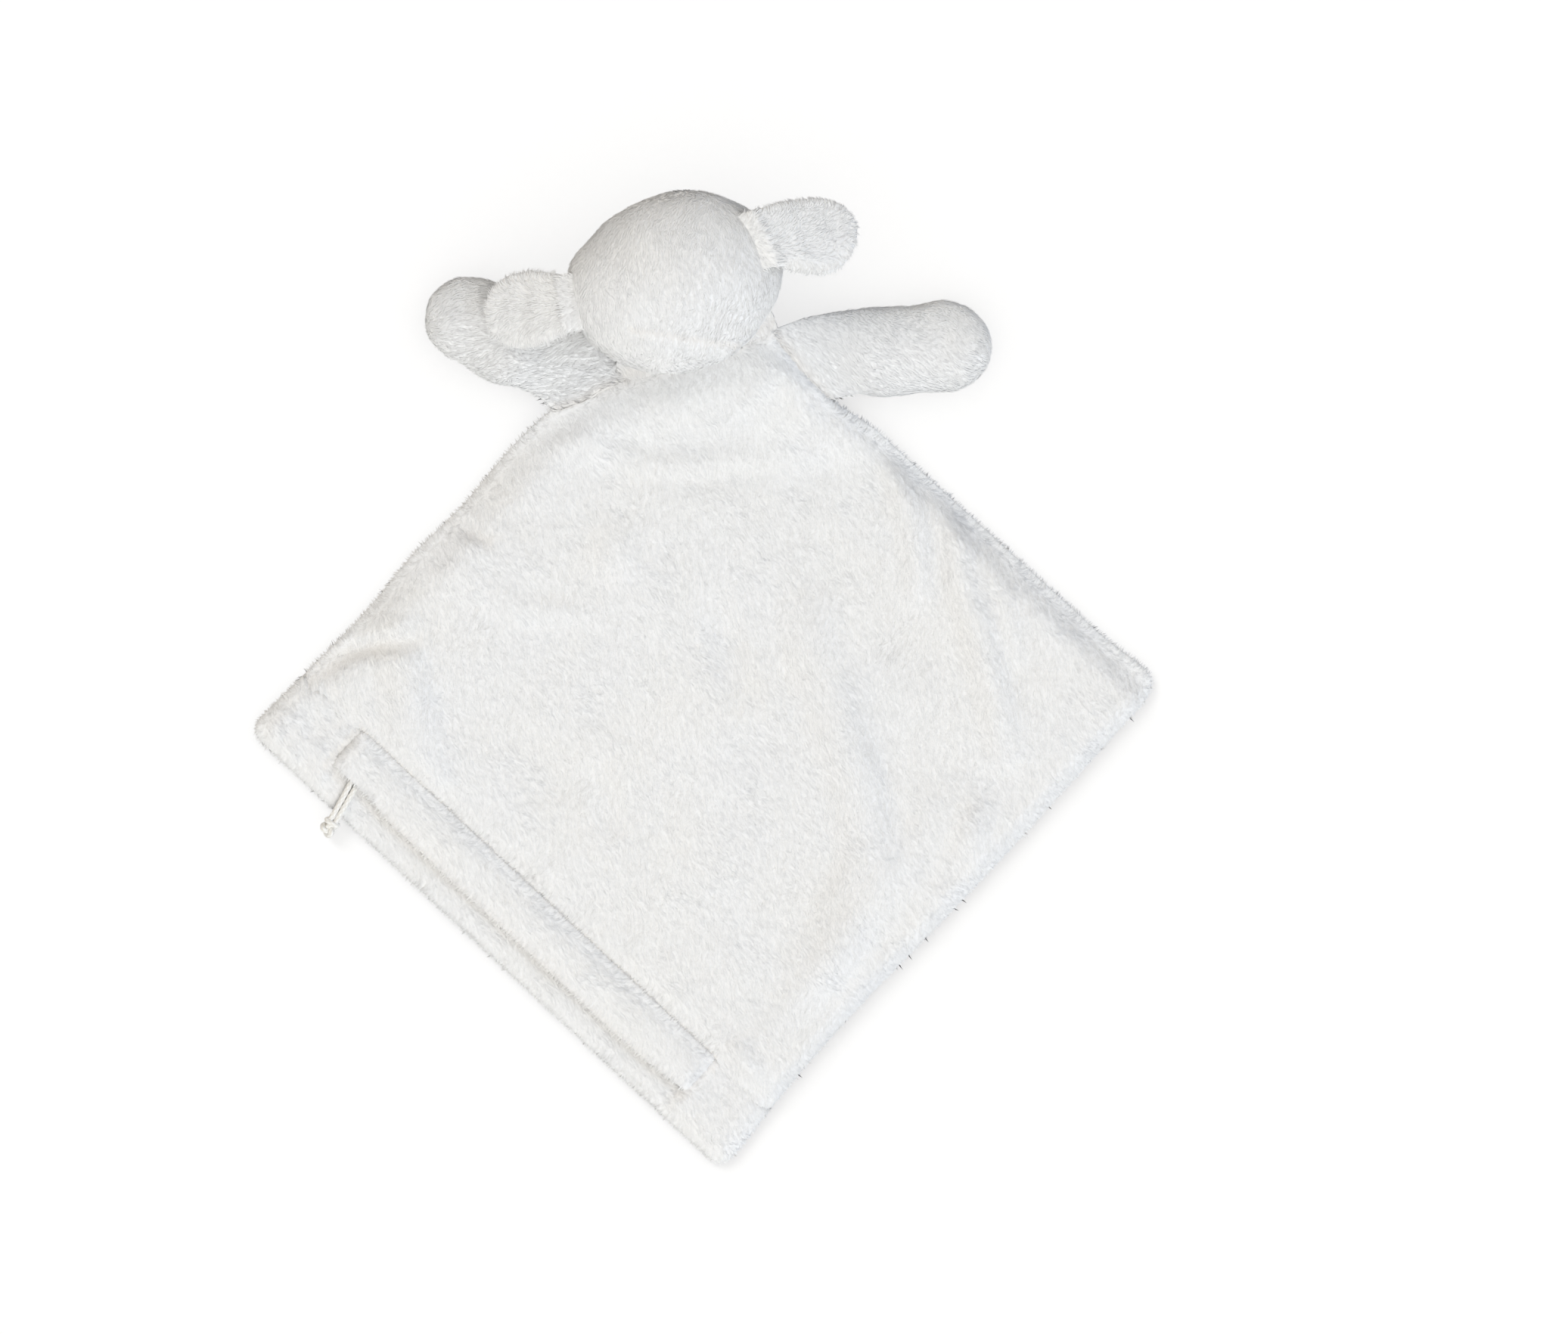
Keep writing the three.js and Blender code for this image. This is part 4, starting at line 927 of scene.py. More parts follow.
def headForm(detail):
    directions, faces = ballMesh(detail)
    half = np.array(head["size"]) / 2 - head["inset"]
    points = directions * half
    toNeck = np.maximum(0, -points[:, 1] / half[1])
    points[:, 0] *= 1 - head["taper"] * toNeck ** 2
    lumps = 0.8 * softNoise(points, 46, 21) + 0.35 * softNoise(points, 17, 22)
    points += directions * lumps[:, None] * 0.8
    world = intoWorld(points, headMatrix)
    level = world[:, :2] - np.array(head["centre"][:2])
    angle = np.degrees(np.arctan2(level[:, 1], level[:, 0]))
    for grow, at, spread in head["fuller"]:
        share = np.exp(-(((angle - at + 180) % 360 - 180) / spread) ** 2)
        share = share * np.minimum(1, np.hypot(*level.T) / 50) ** 2
        world[:, :2] += unit(level) * (grow * share)[:, None]
    return world, faces, unit(points / half ** 2) @ headMatrix[:3, :3].T


# Hand-sewn closing over the neck: where it runs, how it draws the cover in, the puckers across it, and the
# painted shade along it
closing = {
    "start": (-30.0, 195.0), "end": (31.0, 183.0), "length": 62, "depth": 0.5, "width": 2.4,
    "puckers": 5.2, "puckerDepth": 0.12, "puckerReach": 7, "shade": 0.1, "shadeWidth": 1.6,
    "heldWidth": 3, "heldAbove": 45,  # the thread holds the swelling cover along it, above this height
}


def toClosing(points):  # the share of the way along the closing, and the distance from it
    a, b = np.array(closing["start"]), np.array(closing["end"])
    along = np.clip(((points[:, :2] - a) @ (b - a)) / ((b - a) @ (b - a)), 0, 1)
    return along, np.hypot(*(points[:, :2] - a - along[:, None] * (b - a)).T)


def headBall():
    world, faces, normals = headForm(head["detail"])
    coarse, coarseFaces, _ = headForm(head["detail"] - 1)
    thread = np.exp(-(toClosing(coarse)[1] / closing["heldWidth"]) ** 2)
    held = thread * (coarse[:, 2] > closing["heldAbove"]) + (coarse[:, 2] < head["heldBelow"])
    step = swell(coarse, coarseFaces, np.minimum(1, held), head["swell"])
    world += carried(coarse, step, world)
    along, away = toClosing(world)
    backSide = smoothstep(world[:, 2], 40, 55)
    wave = np.cos(along * closing["length"] / closing["puckers"] * 2 * math.pi)
    pucker = wave * np.exp(-(away / closing["puckerReach"]) ** 2)
    seam = closing["depth"] * np.exp(-(away / closing["width"]) ** 2)
    depth = (seam + closing["puckerDepth"] * pucker) * backSide
    world -= normals * depth[:, None]
    flow = np.tile([0.05, -1.0, 0.0], (len(world), 1))
    # painted shade along the closing
    crevice = closing["shade"] * np.exp(-(away / closing["shadeWidth"]) ** 2) * backSide
    piece = clothPiece("head_ball", world, faces, np.ones(len(world)), flow, crevice)
    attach(piece, "head")
    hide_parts("head_back_cover", "head_face_cover", "head_filling")
    return piece


def muzzlePiece():
    directions, faces = ballMesh(5)
    half = np.array(head["muzzle"]) / 2 - 0.9
    points = directions * half
    points += directions * (0.5 * softNoise(points, 18, 31))[:, None]
    flatFrom = -half[2] + 1.6  # pressed flatter where it meets the table
    points[:, 2] = np.where(points[:, 2] < flatFrom, flatFrom - (flatFrom - points[:, 2]) * 0.3,
                            points[:, 2])
    points[:, 2] -= head["muzzleDrop"]
    keep = points[:, 2] < -head["muzzleRoot"] + 3
    points[:, 2] = np.minimum(points[:, 2], -head["muzzleRoot"] + 2)
    world = intoWorld(points, headMatrix)
    spread = np.column_stack([points[:, 0], points[:, 1], np.full(len(points), 8.0)])
    flow = unit(spread) @ headMatrix[:3, :3].T
    piece = clothPiece("muzzle_ball", world, faces, np.where(keep, 1.0, 0.0), flow, np.zeros(len(world)))
    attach(piece, "head")
    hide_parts("muzzle")
    return piece


headPiece = headBall()
muzzleBall = muzzlePiece()


# Ears: padded leaves of two layers

ears = {
    "left": {"pivot": (-59.39, 210.02, 65.25), "hinge": (0.0952, -0.9950, 0.0292), "droop": 43,
             "rootWidth": 30, "lean": 0.0, "slant": 0.0},
    "right": {"pivot": (33.60, 239.04, 75.88), "hinge": (-0.3924, 0.9144, -0.0996), "droop": 35,
              "rootWidth": 31, "lean": -0.33, "slant": 0.56},
}
# The ears' leaf: rootIn of it goes on inside the head, and settle draws its start down to the cover
earLook = {"length": 54, "width": 40, "curl": 9, "cup": 3, "widen": 0.5, "thick": 3.1, "rim": 0.9,
           "rimRoll": 8, "spacing": 1.9, "rootIn": 6, "sunk": 5, "settle": 1.5}


def roundEnd(share, width, length):
    past = np.maximum(0, 1 - (1 - share) / (width / 2 / length))
    return np.sqrt(np.clip(1 - past ** 2, 0, 1))


def earPiece(side):
    ear, look = ears[side], earLook
    hinge = unit(np.array(ear["hinge"]))
    level = unit(np.cross(hinge, (0, 0, 1)))
    ahead = np.array(Matrix.Rotation(math.radians(ear["droop"]), 3, Vector(hinge))) @ level
    back = np.cross(ahead, hinge)
    onHead = (np.array(ear["pivot"]) - headMatrix[:3, 3]) @ headMatrix[:3, :3]
    outward = unit(onHead / (np.array(head["size"]) / 2) ** 2) @ headMatrix[:3, :3].T
    share = np.concatenate([np.linspace(0, 0.9, 28),
                            0.9 + 0.1 * np.sin(np.linspace(0, math.pi / 2, 12))[1:]])
    half = lerp(ear["rootWidth"], look["width"], smoothstep(share, 0, look["widen"])) / 2
    half = half * roundEnd(share, look["width"], look["length"])
    lower = np.column_stack([share * look["length"], -half])
    upper = np.column_stack([share * look["length"], half])[::-1][1:]
    outline = np.vstack([lower, upper])
    slanted = outline[:, 0] * (1 + ear["slant"] * outline[:, 1] / look["length"])
    outline = np.column_stack([slanted, outline[:, 1] + ear["lean"] * outline[:, 0]])
    outline[:, 0] -= look["rootIn"] * (1 - smoothstep(outline[:, 0], 0, 3))
    outline = insetLine(evenly(outline, 1.6), look["rim"])

    def heights(flat, distance):
        reach = 1 + ear["slant"] * (flat[:, 1] - ear["lean"] * flat[:, 0]) / look["length"]
        part = flat[:, 0] / reach / look["length"]
        aside = (flat[:, 1] - ear["lean"] * flat[:, 0] / reach) / (look["width"] / 2)
        middle = look["curl"] * part ** 2 - look["cup"] * aside ** 2 * part
        full = (look["thick"] - look["rim"]) * rollEdge(distance, look["rimRoll"])
        half = 0.35 + full + 0.3 * softNoise(flat, 15, 41)
        half = np.maximum(half * smoothstep(distance, -1, 1.5), 0.3)
        return middle + half, middle - half

    flat, faces, distance, n = clothShell(outline, look["spacing"], heights, steps=(0.3, 0.9, 1.9, 3.2))
    basis = np.stack([ahead, hinge, back], 1)
    points = flat @ basis.T + np.array(ear["pivot"])
    half = np.array(head["size"]) / 2
    onBall = (points - headMatrix[:3, 3]) @ headMatrix[:3, :3]
    reach = np.linalg.norm(onBall / half, axis=1)
    proud = (reach - 1) * reach / np.linalg.norm(onBall / half ** 2, axis=1)  # height above the head
    foot = np.maximum(0, proud + look["sunk"]) * (1 - smoothstep(flat[:, 0], 0, 7))
    points -= outward * (foot + look["settle"] * (1 - smoothstep(flat[:, 0], 6, 24)))[:, None]
    fan = (flat[:, 1] - ear["lean"] * flat[:, 0]) / 26
    spread = np.column_stack([np.full(len(flat), 1.0), fan, np.zeros(len(flat))])
    fromRoot = 12 * (1 - smoothstep(flat[:, 0], 3, 14))
    flow = overEdge(unit(spread), outwardWay(flat[:, :2], outline), distance + fromRoot) @ basis.T
    name = side + "_ear"
    share = np.ones(len(points))
    share[n:] = smoothstep(distance[n:], 2.5, 5)
    piece = clothPiece(name + "_leaf", points, faces, share, flow, np.zeros(len(flat)))
    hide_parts(name + "_back", name + "_lining")
    pivot = np.array(ear["pivot"])
    return piece, (pivot * mm, (pivot + ahead * 9) * mm)


# Arms: stuffed tubes sewn into the blanket's edge

arms = {
    "left": {"length": 91, "heading": 148.3, "ends": (neckLeft, shoulderLeft), "rootWidth": 38.3,
             "longer": 2.0, "swell": (8.0, 0.17, 0.2, 48), "lower": (2.0, 0.08, 0.14, -120)},
    "right": {"length": 95, "heading": 3, "ends": (neckRight, shoulderRight), "rootWidth": 46.8,
              "longer": 0.5, "swell": (2.0, 0.1, 0.2, 95), "lower": (1.0, 0.5, 0.25, 95)},
}
# The arms' tube: rootBack is from its first ring back to the blanket's edge, and shade is how much painted
# shade its root gets
armLook = {"width": 49, "thick": 30, "rootThick": 6.4, "widen": 0.6, "thicken": 0.42, "inset": 2.0,
           "swell": 1.5, "quickSwell": 0.6, "sides": 64, "rootBack": 6.5, "aboveTable": 0.7,
           "shade": 0.14, "shadeShare": 0.03}


def armPiece(side):
    arm, look = arms[side], armLook
    onEdge = [np.array([p[0], p[1], float(climb(p[0], p[1])) + blanket["backTop"] / 2])
              for p in arm["ends"]]
    root = (onEdge[0] + onEdge[1]) / 2
    seam = unit(onEdge[1] - onEdge[0])
    away = unit(np.cross((0, 0, 1), seam))
    turn = math.radians(arm["heading"])
    heading = np.array([math.cos(turn), math.sin(turn), 0])
    if away @ heading < 0:
        away = -away
    root = root + away * (look["rootThick"] / 2 + 0.3)
    left = np.cross((0, 0, 1), heading)
    rootAcross = seam if seam @ left > 0 else -seam
    skew = math.atan2(np.cross(left, rootAcross)[2], left @ rootAcross)
    inset, sides = look["inset"], look["sides"]
    shares = np.concatenate([np.linspace(0, 0.8, 44),
                             0.8 + 0.2 * np.sin(np.linspace(0, math.pi / 2, 22))[1:-1]])
    angle = np.arange(sides) * 2 * math.pi / sides
    rings = []
    for ringShare in shares:
        share = ringShare * (1 + (arm["longer"] - inset) / arm["length"])
        tip = float(roundEnd(ringShare, look["width"], arm["length"]))
        widen = float(smoothstep(share, 0, look["widen"]))
        thicken = float(smoothstep(share, 0, look["thicken"]))
        straight = 1 - widen
        c, s = math.cos(skew * straight), math.sin(skew * straight)
        across = np.array([left[0] * c - left[1] * s, left[0] * s + left[1] * c, rootAcross[2] * straight])
        wide = lerp(arm["rootWidth"] + 1.8, look["width"], widen) / 2 - inset
        thick = lerp(look["rootThick"], look["thick"], thicken) / 2 - inset * 0.8
        back = away * look["rootBack"] * (1 - min(1, share / 0.12))
        centre = root + heading * share * arm["length"] - back
        centre[2] = lerp(root[2], look["thick"] / 2, thicken)
        aside = np.outer(np.cos(angle) * wide * tip, across)
        rings.append(centre + aside + np.outer(np.sin(angle) * thick * math.sqrt(tip), (0, 0, 1)))
    tipPoint = root + heading * (arm["length"] + arm["longer"] - inset)
    tipPoint[2] = look["thick"] / 2
    points = np.vstack(rings)
    count = len(shares)
    ringOf = np.repeat(np.arange(count), sides)
    centreOf = np.array([r.mean(0) for r in rings])[ringOf]
    outward = unit(points - centreOf)
    shareOf = shares[ringOf]
    lumps = 0.9 * softNoise(points, 34, 51 + len(side)) + 0.35 * softNoise(points, 13, 53)
    points = points + outward * (lumps * smoothstep(shareOf, 0.05, 0.4))[:, None]
    for grow, at, spread, degrees in (arm["swell"], arm["lower"]):  # fuller on the side that faces this way
        way = np.array([math.cos(math.radians(degrees)), math.sin(math.radians(degrees)), 0])
        fuller = grow * np.exp(-((shareOf - at) / spread) ** 2) * np.maximum(0, outward @ way)
        points = points + way * fuller[:, None]
    points = np.vstack([points, rings[0].mean(0), tipPoint])
    shareOf = np.concatenate([shareOf, [0, 1]])
    outward = np.vstack([outward, -heading, heading])
    faces = tubeFaces(count, sides)
    volume = sum(np.dot(points[f[0]], np.cross(points[f[1]], points[f[2]])) for f in faces)
    if volume < 0:
        faces = [tuple(reversed(f)) for f in faces]
    points = points + swell(points, faces, 1 - smoothstep(shareOf, 0.02, 0.3), look["swell"])
    points[:, 2] = np.maximum(points[:, 2], look["aboveTable"])
    flow = np.tile(heading + np.array([0, -0.7, 0]), (len(points), 1))
    # painted shade where the arm is sewn into the blanket
    crevice = look["shade"] * np.exp(-(shareOf / look["shadeShare"]) ** 2)
    name = side + "_arm"
    piece = clothPiece(name + "_tube", points, faces, np.ones(len(points)), flow, crevice)
    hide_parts(name + "_back_cover", name + "_front_cover", name + "_filling")
    return piece, ((root - away * 4) * mm, (root + away * 14) * mm)


# Gathered cloth between the blanket and the head

def neckGather():
    look = {"width": 84, "length": 12.5, "ripple": 0.6, "pitch": 9}
    half, low, high = look["width"] / 2, -2.5, look["length"] - 2.5
    outline = rounded([(-half, low, 3), (half, low, 3), (half, high, 3), (-half, high, 3)], 1.6)
    tilt = math.radians(blanket["neckTilt"])
    c, s = math.cos(tilt), math.sin(tilt)

    def plane(flat):
        aside, up = flat[:, 0], flat[:, 1]
        return neckCentre[0] + aside * c - up * s, neckCentre[1] + aside * s + up * c

    def heights(flat, distance):
        x, y = plane(flat)
        atEnd = smoothstep(np.abs(flat[:, 0]), half - 12, half)
        wave = np.cos(2 * math.pi * flat[:, 0] / look["pitch"] + 1.5 * softNoise(flat, 25, 61))
        wave = look["ripple"] * wave * (1 - atEnd)
        top = climb(x, y) + blanket["backTop"] - 0.6 + wave - 2.5 * atEnd
        return np.maximum(top, 1), top - 1.2 - 1.6 * rollEdge(distance, 3)

    flat, faces, distance, n = clothShell(outline, 1.8, heights, steps=(0.4, 1.2))
    x, y = plane(flat)
    points = np.column_stack([x, y, flat[:, 2]])
    # painted shade where the gathered cloth meets the head
    crevice = 0.12 * np.exp(-((flat[:, 1] - 3) / 5) ** 2)
    piece = clothPiece("neck_gather_cloth", points, faces, np.ones(len(points)), flowTo(points, -80),
                       crevice)
    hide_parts("neck_gather")
    start = np.array([neckCentre[0], neckCentre[1], 18.0])
    return piece, (start * mm, (start + np.array([-s, c, 0]) * 10) * mm)


# What each body that bends is joined to, its piece, and where the bend starts and ends
blended = {"left_ear": ("head", earPiece("left")), "right_ear": ("head", earPiece("right")),
           "left_arm": ("blanket", armPiece("left")), "right_arm": ("blanket", armPiece("right")),
           "head": ("blanket", neckGather())}
print("head, ears and arms are made")


# Zip, nose and eyes keep their CAD shapes and get their materials here

trimLook = {  # spacings of threads, peel and scratches in millimetres
    "tape": "#ECE9E1", "tapeShade": "#D9D4C8", "weave": 0.6,
    "teeth": "#EFEBE1", "peel": 0.5,
    "metal": "#C9C7C3", "scratch": 2.0,
    "thread": "#3A302B", "threadShade": "#1C1613", "stitch": 0.5, "fibre": 0.3,
}


def bands(tree, place, pitch, way):  # soft bands pitch millimetres apart
    inputs = {"Vector": place, "Scale": 2 * math.pi / 20 / (pitch * mm), "Distortion": 0.4, "Detail": 1.0,
              "Detail Scale": 1.5}
    return addNode(tree, "ShaderNodeTexWave", inputs, wave_type="BANDS", bands_direction=way).outputs["Fac"]


def turned(tree, degrees):
    inputs = {"Vector": objectPlace(tree), "Rotation": (0, 0, math.radians(degrees))}
    return addNode(tree, "ShaderNodeMapping", inputs).outputs["Vector"]


def tapeMaterial(look):
    # Woven polyester zip tape: matt, with a fine rib along and across it
    material, tree, shader = newMaterial("woven polyester tape")
    place = turned(tree, 45)
    across, along = bands(tree, place, look["weave"], "X"), bands(tree, place, look["weave"] * 1.3, "Y")
    weave = maths(tree, "MULTIPLY", across, along)
    # painted shade between the threads of the weave
    colour = mixColours(tree, weave, linearHex(look["tapeShade"]), linearHex(look["tape"]))
    feed(tree, shader, {"Base Color": colour, "Normal": bumped(tree, weave, 0.7, 0.2), "Roughness": 0.8,
                        "Sheen Weight": 0.15})
    return material


def teethMaterial(look):
    # Moulded nylon: a little translucent, half glossy, with a slight orange peel from the mould
    material, tree, shader = newMaterial("moulded nylon")
    peel = noise(tree, objectPlace(tree), look["peel"], 2.0)
    feed(tree, shader, {"Base Color": linearHex(look["teeth"]), "Normal": bumped(tree, peel, 0.3, 0.1),
                        "Roughness": mapped(tree, peel, 0, 1, 0.34, 0.5), "IOR": 1.53})
    return material


def nickelMaterial(look):
    # Nickel plate on a die-cast body: bright, rubbed dull in fine scratches
    material, tree, shader = newMaterial("nickel plate")
    stretch = {"Vector": turned(tree, 45), "Scale": (1.0, 8.0, 1.0)}
    place = addNode(tree, "ShaderNodeMapping", stretch).outputs["Vector"]
    rubbed = noise(tree, place, look["scratch"], 4.0)
    feed(tree, shader, {"Base Color": linearHex(look["metal"]), "Metallic": 1.0,
                        "Roughness": mapped(tree, rubbed, 0.3, 0.7, 0.2, 0.42)})
    return material


def satinMaterial(name, look, degrees):
    # Embroidery thread in satin stitch: dark, with a silky gleam across the threads
    material, tree, shader = newMaterial(name)
    place = turned(tree, degrees)
    thread, fibre = bands(tree, place, look["stitch"], "X"), noise(tree, place, look["fibre"], 2.0)
    mixed = maths(tree, "MULTIPLY", thread, fibre)
    # painted shade between the threads
    colour = mixColours(tree, mixed, linearHex(look["threadShade"]), linearHex(look["thread"]))
    feed(tree, shader, {"Base Color": colour, "Normal": bumped(tree, mixed, 0.8, 0.3), "Roughness": 0.45,
                        "Sheen Weight": 0.3})
    return material


def dress(material, *names):
    for name in names:
        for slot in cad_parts[name].material_slots:
            slot.material = material


dress(tapeMaterial(trimLook), "zip_tape_inner", "zip_tape_outer")
dress(teethMaterial(trimLook), "zip_teeth_inner", "zip_teeth_outer")
dress(nickelMaterial(trimLook), "zip_slider", "zip_bottom_stop", "zip_top_stop_inner", "zip_top_stop_outer")
dress(satinMaterial("satin stitch up and down", trimLook, -head["tilt"]), "nose")
dress(satinMaterial("satin stitch across", trimLook, 90 - head["tilt"]), "left_eye", "right_eye")
print("zip, nose and eyes are dressed")


# Pile: short tufts that lie over each piece

pile = {
    "perArea": 0.9, "length": 3.0, "width": 0.45, "flat": 0.35,
    "lift": 0.13, "scatter": 0.22, "swirl": 0.45, "swirlSize": 22,
    "lock": 0.3, "lockSize": 2.6, "lockTilt": 0.14, "tone": 0.8,
    "calm": 0.8,      # share of the cloth's own normal that a tuft shades with
    "up": 0.0,        # share of the upright
    "leastUp": -1.0,
    "floor": 0.05,
}
# Longer pile of the toy itself, and how it differs on what bends
shaggy = {"lock": 0.42, "lockSize": 2.3, "lockTilt": 0.16, "tone": 0.85, "length": 3.8, "width": 0.5,
          "perArea": 0.8, "up": 0.36, "leastUp": 0.32}
bendingPile = {
    "ear": {**shaggy, "up": 0.85, "tone": 0.5, "calm": 0.92, "length": 3.2},
    "arm": {**shaggy, "up": 0.7, "calm": 0.88},
    "head": {"up": 0.5},
}


# Inputs of the pile's node group, with the entry of a pile's look that sets each and its unit
pileInputs = {
    "Tufts per square metre": ("perArea", 1 / mm / mm), "Tuft length": ("length", mm),
    "Tuft width": ("width", mm), "Flatness": ("flat", 1), "Lift": ("lift", 1), "Scatter": ("scatter", 1),
    "Swirl": ("swirl", 1), "Swirl size": ("swirlSize", mm), "Lock": ("lock", 1),
    "Lock size": ("lockSize", mm), "Lock tilt": ("lockTilt", 1), "Tone": ("tone", 1),
}


def pileTree():
    tree = bpy.data.node_groups.new("plush pile", "GeometryNodeTree")
    sockets = {}
    tree.interface.new_socket("Geometry", in_out="INPUT", socket_type="NodeSocketGeometry")
    for name in (*pileInputs, "Seed"):
        kind = "NodeSocketInt" if name == "Seed" else "NodeSocketFloat"
        sockets[name] = tree.interface.new_socket(name, in_out="INPUT", socket_type=kind).identifier
    tree.interface.new_socket("Geometry", in_out="OUTPUT", socket_type="NodeSocketGeometry")
    given = addNode(tree, "NodeGroupInput").outputs

    def kept(name, kind):
        inputs = {"Name": name}
        return addNode(tree, "GeometryNodeInputNamedAttribute", inputs, data_type=kind).outputs["Attribute"]

    def between(low, high, seed):
        inputs = {2: low, 3: high, "Seed": seed}
        return addNode(tree, "FunctionNodeRandomValue", inputs, data_type="FLOAT").outputs[1]

    def lumps(size, detail):
        scale = maths(tree, "DIVIDE", 1.0, given[size])
        return addNode(tree, "ShaderNodeTexNoise", {"Vector": place, "Scale": scale, "Detail": detail})

    def scaled(vector, name, times):
        return vectorMaths(tree, "SCALE", vector, Scale=maths(tree, "MULTIPLY", given[name], times))

    def stored(geometry, name, value, kind):
        inputs = {"Geometry": geometry, "Name": name, "Value": value}
        node = addNode(tree, "GeometryNodeStoreNamedAttribute", inputs, data_type=kind, domain="POINT")
        return node.outputs[0]

    density = maths(tree, "MULTIPLY", kept("pileShare", "FLOAT"), given["Tufts per square metre"])
    sown = {"Mesh": given["Geometry"], "Density": density, "Seed": given["Seed"]}
    spots = addNode(tree, "GeometryNodeDistributePointsOnFaces", sown).outputs
    normal, place = spots["Normal"], addNode(tree, "GeometryNodeInputPosition").outputs[0]

    # the way a tuft lies: the cloth's flow, swirled, scattered and drawn into locks, then laid on the cloth
    middle = (0.5, 0.5, 0.5)
    swirl = vectorMaths(tree, "SUBTRACT", lumps("Swirl size", 1.0).outputs["Color"], middle)
    limits = {0: (-1, -1, -1), 1: (1, 1, 1), "Seed": given["Seed"]}
    rough = addNode(tree, "FunctionNodeRandomValue", limits, data_type="FLOAT_VECTOR").outputs[0]
    lock = lumps("Lock size", 0.0).outputs
    lockWay = vectorMaths(tree, "SUBTRACT", lock["Color"], middle)
    way = vectorMaths(tree, "ADD", kept("flow", "FLOAT_VECTOR"), scaled(swirl, "Swirl", 5.0))
    way = vectorMaths(tree, "ADD", way, vectorMaths(tree, "SCALE", rough, Scale=given["Scatter"]))
    way = vectorMaths(tree, "ADD", way, scaled(lockWay, "Lock", 4.0))
    upright = vectorMaths(tree, "SCALE", normal, Scale=vectorMaths(tree, "DOT_PRODUCT", way, normal))
    way = vectorMaths(tree, "NORMALIZE", vectorMaths(tree, "SUBTRACT", way, upright))
    lift = vectorMaths(tree, "SCALE", normal,
                       Scale=maths(tree, "MULTIPLY", between(0.4, 1.6, 7), given["Lift"]))
    way = vectorMaths(tree, "ADD", way, lift)
    turn = addNode(tree, "FunctionNodeAlignRotationToVector", {"Vector": way}, axis="Z").outputs[0]
    flat = {"Rotation": turn, "Vector": normal}
    turn = addNode(tree, "FunctionNodeAlignRotationToVector", flat, axis="Y", pivot_axis="Z").outputs[0]

    # its size, the cloth's normal that it shades with, and its tone
    length = maths(tree, "MULTIPLY", between(0.6, 1.25, 11), given["Tuft length"])
    thick = maths(tree, "MULTIPLY", given["Tuft width"], given["Flatness"])
    scale = addNode(tree, "ShaderNodeCombineXYZ", {0: given["Tuft width"], 1: thick, 2: length}).outputs[0]
    tilted = vectorMaths(tree, "ADD", scaled(lockWay, "Lock tilt", 4.0), normal)
    tilted = vectorMaths(tree, "NORMALIZE", tilted)
    lockTone = mapped(tree, lock["Fac"], 0.3, 0.7, 0, 1)
    tones = {0: 0.5, 2: between(0.0, 1.0, 13), 3: lockTone}
    tone = addNode(tree, "ShaderNodeMix", tones, data_type="FLOAT").outputs[0]
    tone = maths(tree, "MULTIPLY", tone, given["Tone"])
    spots = stored(spots["Points"], "clothNormal", tilted, "FLOAT_VECTOR")
    spots = stored(spots, "tuftTone", tone, "FLOAT")

    cone = {"Vertices": 3, "Side Segments": 1, "Fill Segments": 1, "Radius Top": 0.0, "Radius Bottom": 1.0,
            "Depth": 1.0}
    tuft = addNode(tree, "GeometryNodeMeshCone", cone, fill_type="NGON").outputs["Mesh"]
    placed = {"Points": spots, "Instance": tuft, "Rotation": turn, "Scale": scale}
    grown = addNode(tree, "GeometryNodeInstanceOnPoints", placed).outputs[0]
    real = addNode(tree, "GeometryNodeRealizeInstances", {"Geometry": grown}).outputs[0]
    smooth = addNode(tree, "GeometryNodeSetShadeSmooth", {"Geometry": real, "Shade Smooth": True})
    dressed = {"Geometry": smooth.outputs[0], "Material": pileMaterial}
    ended = addNode(tree, "GeometryNodeSetMaterial", dressed)
    addNode(tree, "NodeGroupOutput", {0: ended.outputs[0]})
    return tree, sockets


pileGroup, pileSockets = pileTree()


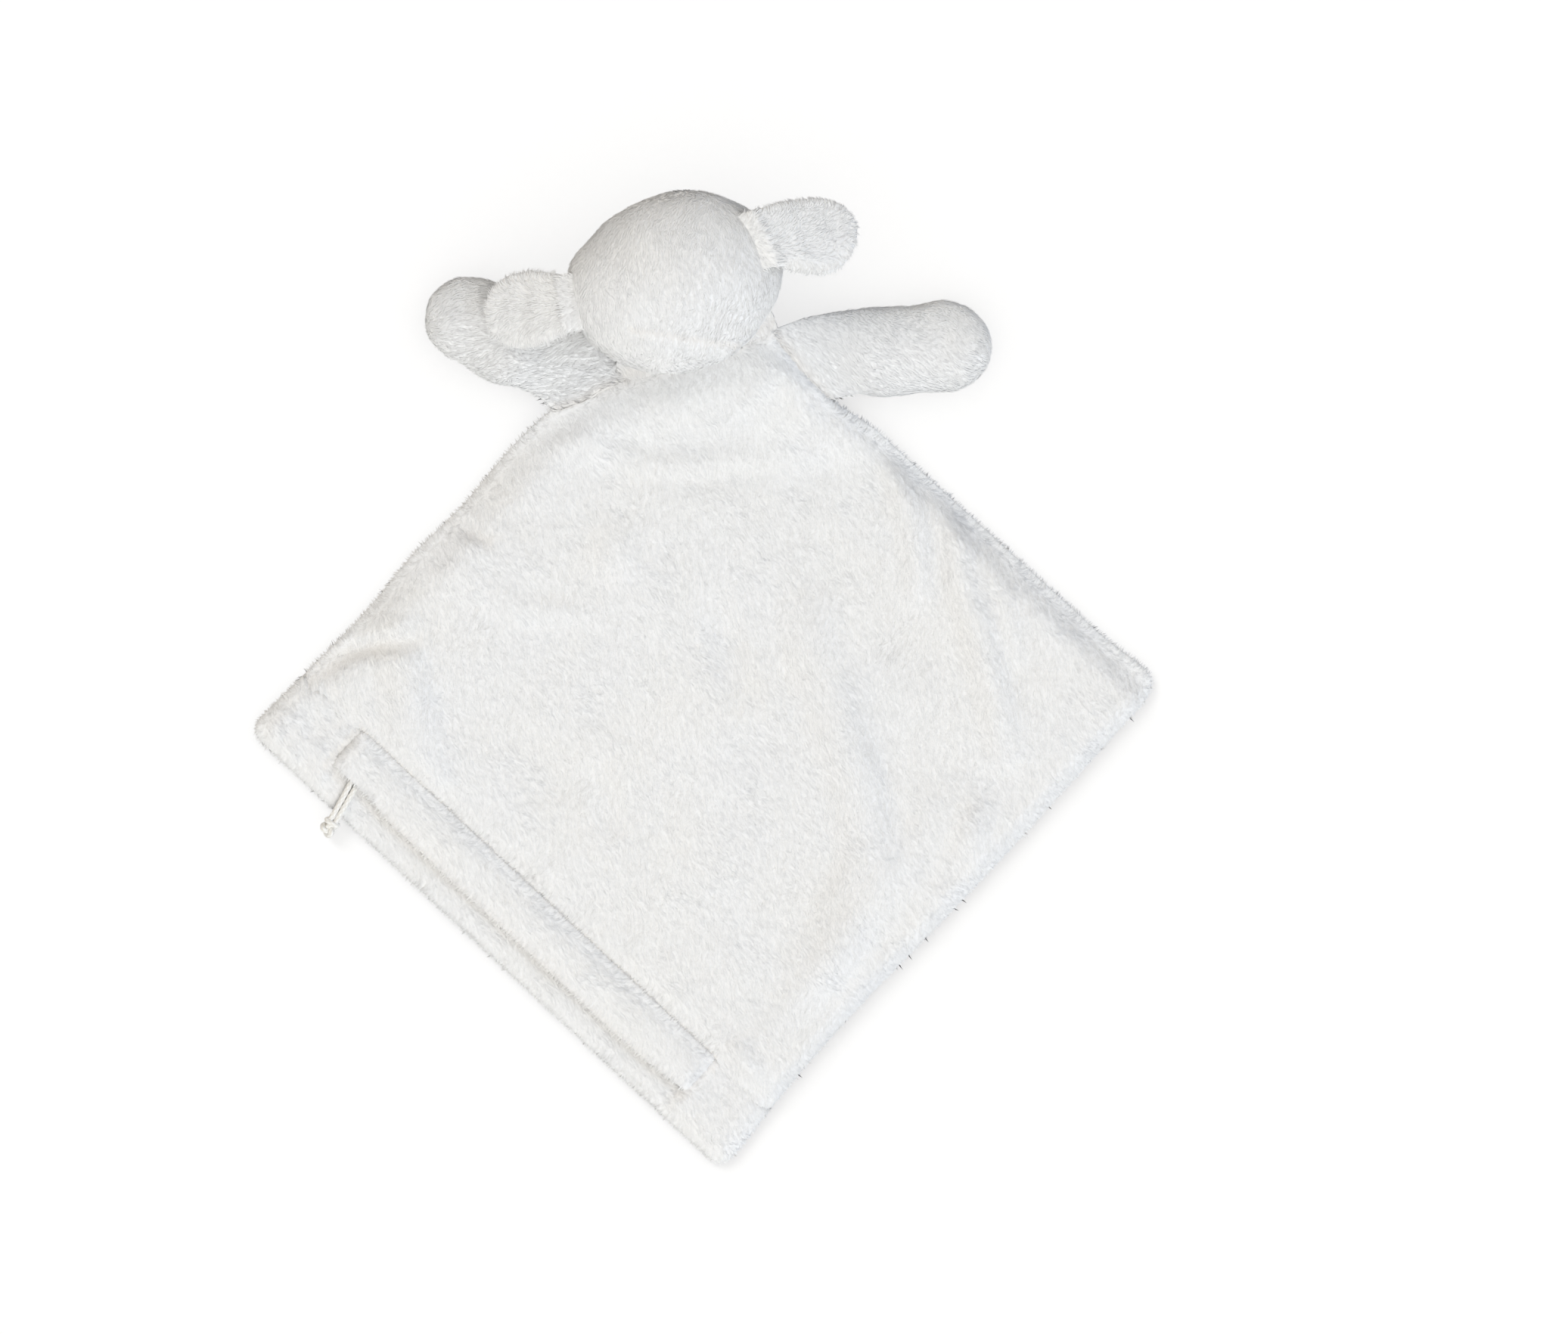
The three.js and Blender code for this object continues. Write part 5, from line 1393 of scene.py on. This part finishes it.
def growPile(piece, name, seed, part=None, **changes):
    look = {**pile, **changes}
    patch = bpy.data.objects.new(name, piece.data.copy())
    bpy.context.scene.collection.objects.link(patch)
    if part is not None:
        thinPile(patch.data, part(fetched(patch.data.vertices, "co", 3) / mm))
    modifier = patch.modifiers.new("pile", "NODES")
    modifier.node_group = pileGroup
    for key, (entry, scale) in pileInputs.items():
        modifier[pileSockets[key]] = float(look[entry] * scale)
    modifier[pileSockets["Seed"]] = seed
    grown = bpy.data.meshes.new_from_object(patch.evaluated_get(bpy.context.evaluated_depsgraph_get()))
    patch.modifiers.remove(modifier)
    patch.data = grown
    own = fetched(grown.vertex_normals, "vector", 3)
    cloth = fetched(grown.attributes["clothNormal"].data, "vector", 3)
    place = fetched(grown.vertices, "co", 3)
    place[:, 2] = np.maximum(place[:, 2], look["floor"] * mm)  # pressed flat on the table
    grown.vertices.foreach_set("co", place.ravel())
    normals = unit(lerp(own, cloth, look["calm"]))
    above = cloth[:, 2] > -0.95  # all but the cloth that faces the table
    normals[:, 2] = np.where(above, np.maximum(normals[:, 2], look["leastUp"]), normals[:, 2])
    normals = unit(lerp(normals, np.array([0.0, 0.0, 1.0]), (look["up"] * above)[:, None]))
    grown.normals_split_custom_set_from_vertices(normals.tolist())
    for extra in ("pileShare", "flow", "clothNormal"):
        if extra in grown.attributes:
            grown.attributes.remove(grown.attributes[extra])
    return patch


piles = []
strips = {"left": (-300, -32), "middle": (-32, 48), "right": (48, 300)}  # the back's pile is grown in three
for strip, (low, high) in strips.items():
    within = lambda p: ((p[:, 0] >= low) & (p[:, 0] < high)).astype(np.float32)
    grown = growPile(layers["back"], "back_layer_pile_" + strip, len(piles) + 1, within, leastUp=0.62)
    piles.append(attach(grown, "blanket"))
for key, name in (("hem", "hem_strip_pile"), ("flap", "zip_flap_pile"), ("front", "front_layer_pile")):
    piles.append(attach(growPile(layers[key], name, len(piles) + 1, leastUp=0.62), "blanket"))
piles.append(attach(growPile(headPiece, "head_pile", 20, **shaggy), "head"))
piles.append(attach(growPile(muzzleBall, "muzzle_pile", 21, length=2.2), "head"))
for body, (parent, (piece, (start, end))) in blended.items():
    grown = growPile(piece, piece.name + "_pile", 30 + len(piles), **bendingPile[body.split("_")[-1]])
    for thing in (piece, grown):
        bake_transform(thing)
    piles.append(grown)

# The floor's own light draws the blanket's shadow alone, and passes by all the rest
passedBy = bpy.data.collections.new("what the floor light passes by")
for thing in [headPiece, muzzleBall] + [made[0] for _, made in blended.values()] + piles:
    if "layer" not in thing.name and "hem" not in thing.name:
        passedBy.objects.link(thing)
for entry in passedBy.collection_objects:
    entry.light_linking.link_state = "EXCLUDE"
floorLight.light_linking.blocker_collection = passedBy
facesIn = {p.name: len(p.data.polygons) for p in piles}
print("pile is grown:", sum(facesIn.values()), "faces in", facesIn)

# Each layer's flat size in metres, how it is held, what it rests on, and the names that its pile starts with
cuts = {
    "back": ((0.33, 0.29), "laid", ["front_layer"], "back_layer_pile"),
    "hem": ((0.33, 0.041), "laid", ["front_layer"], "hem_strip_pile"),
    "flap": ((0.248, 0.025), "folded", ["hem_strip"], "zip_flap_pile"),
    "front": ((0.33, 0.33), "laid", ["floor"], "front_layer_pile"),
}
for key, (flat, held, below, start) in cuts.items():
    grown = [p for p in piles if p.name.startswith(start)]
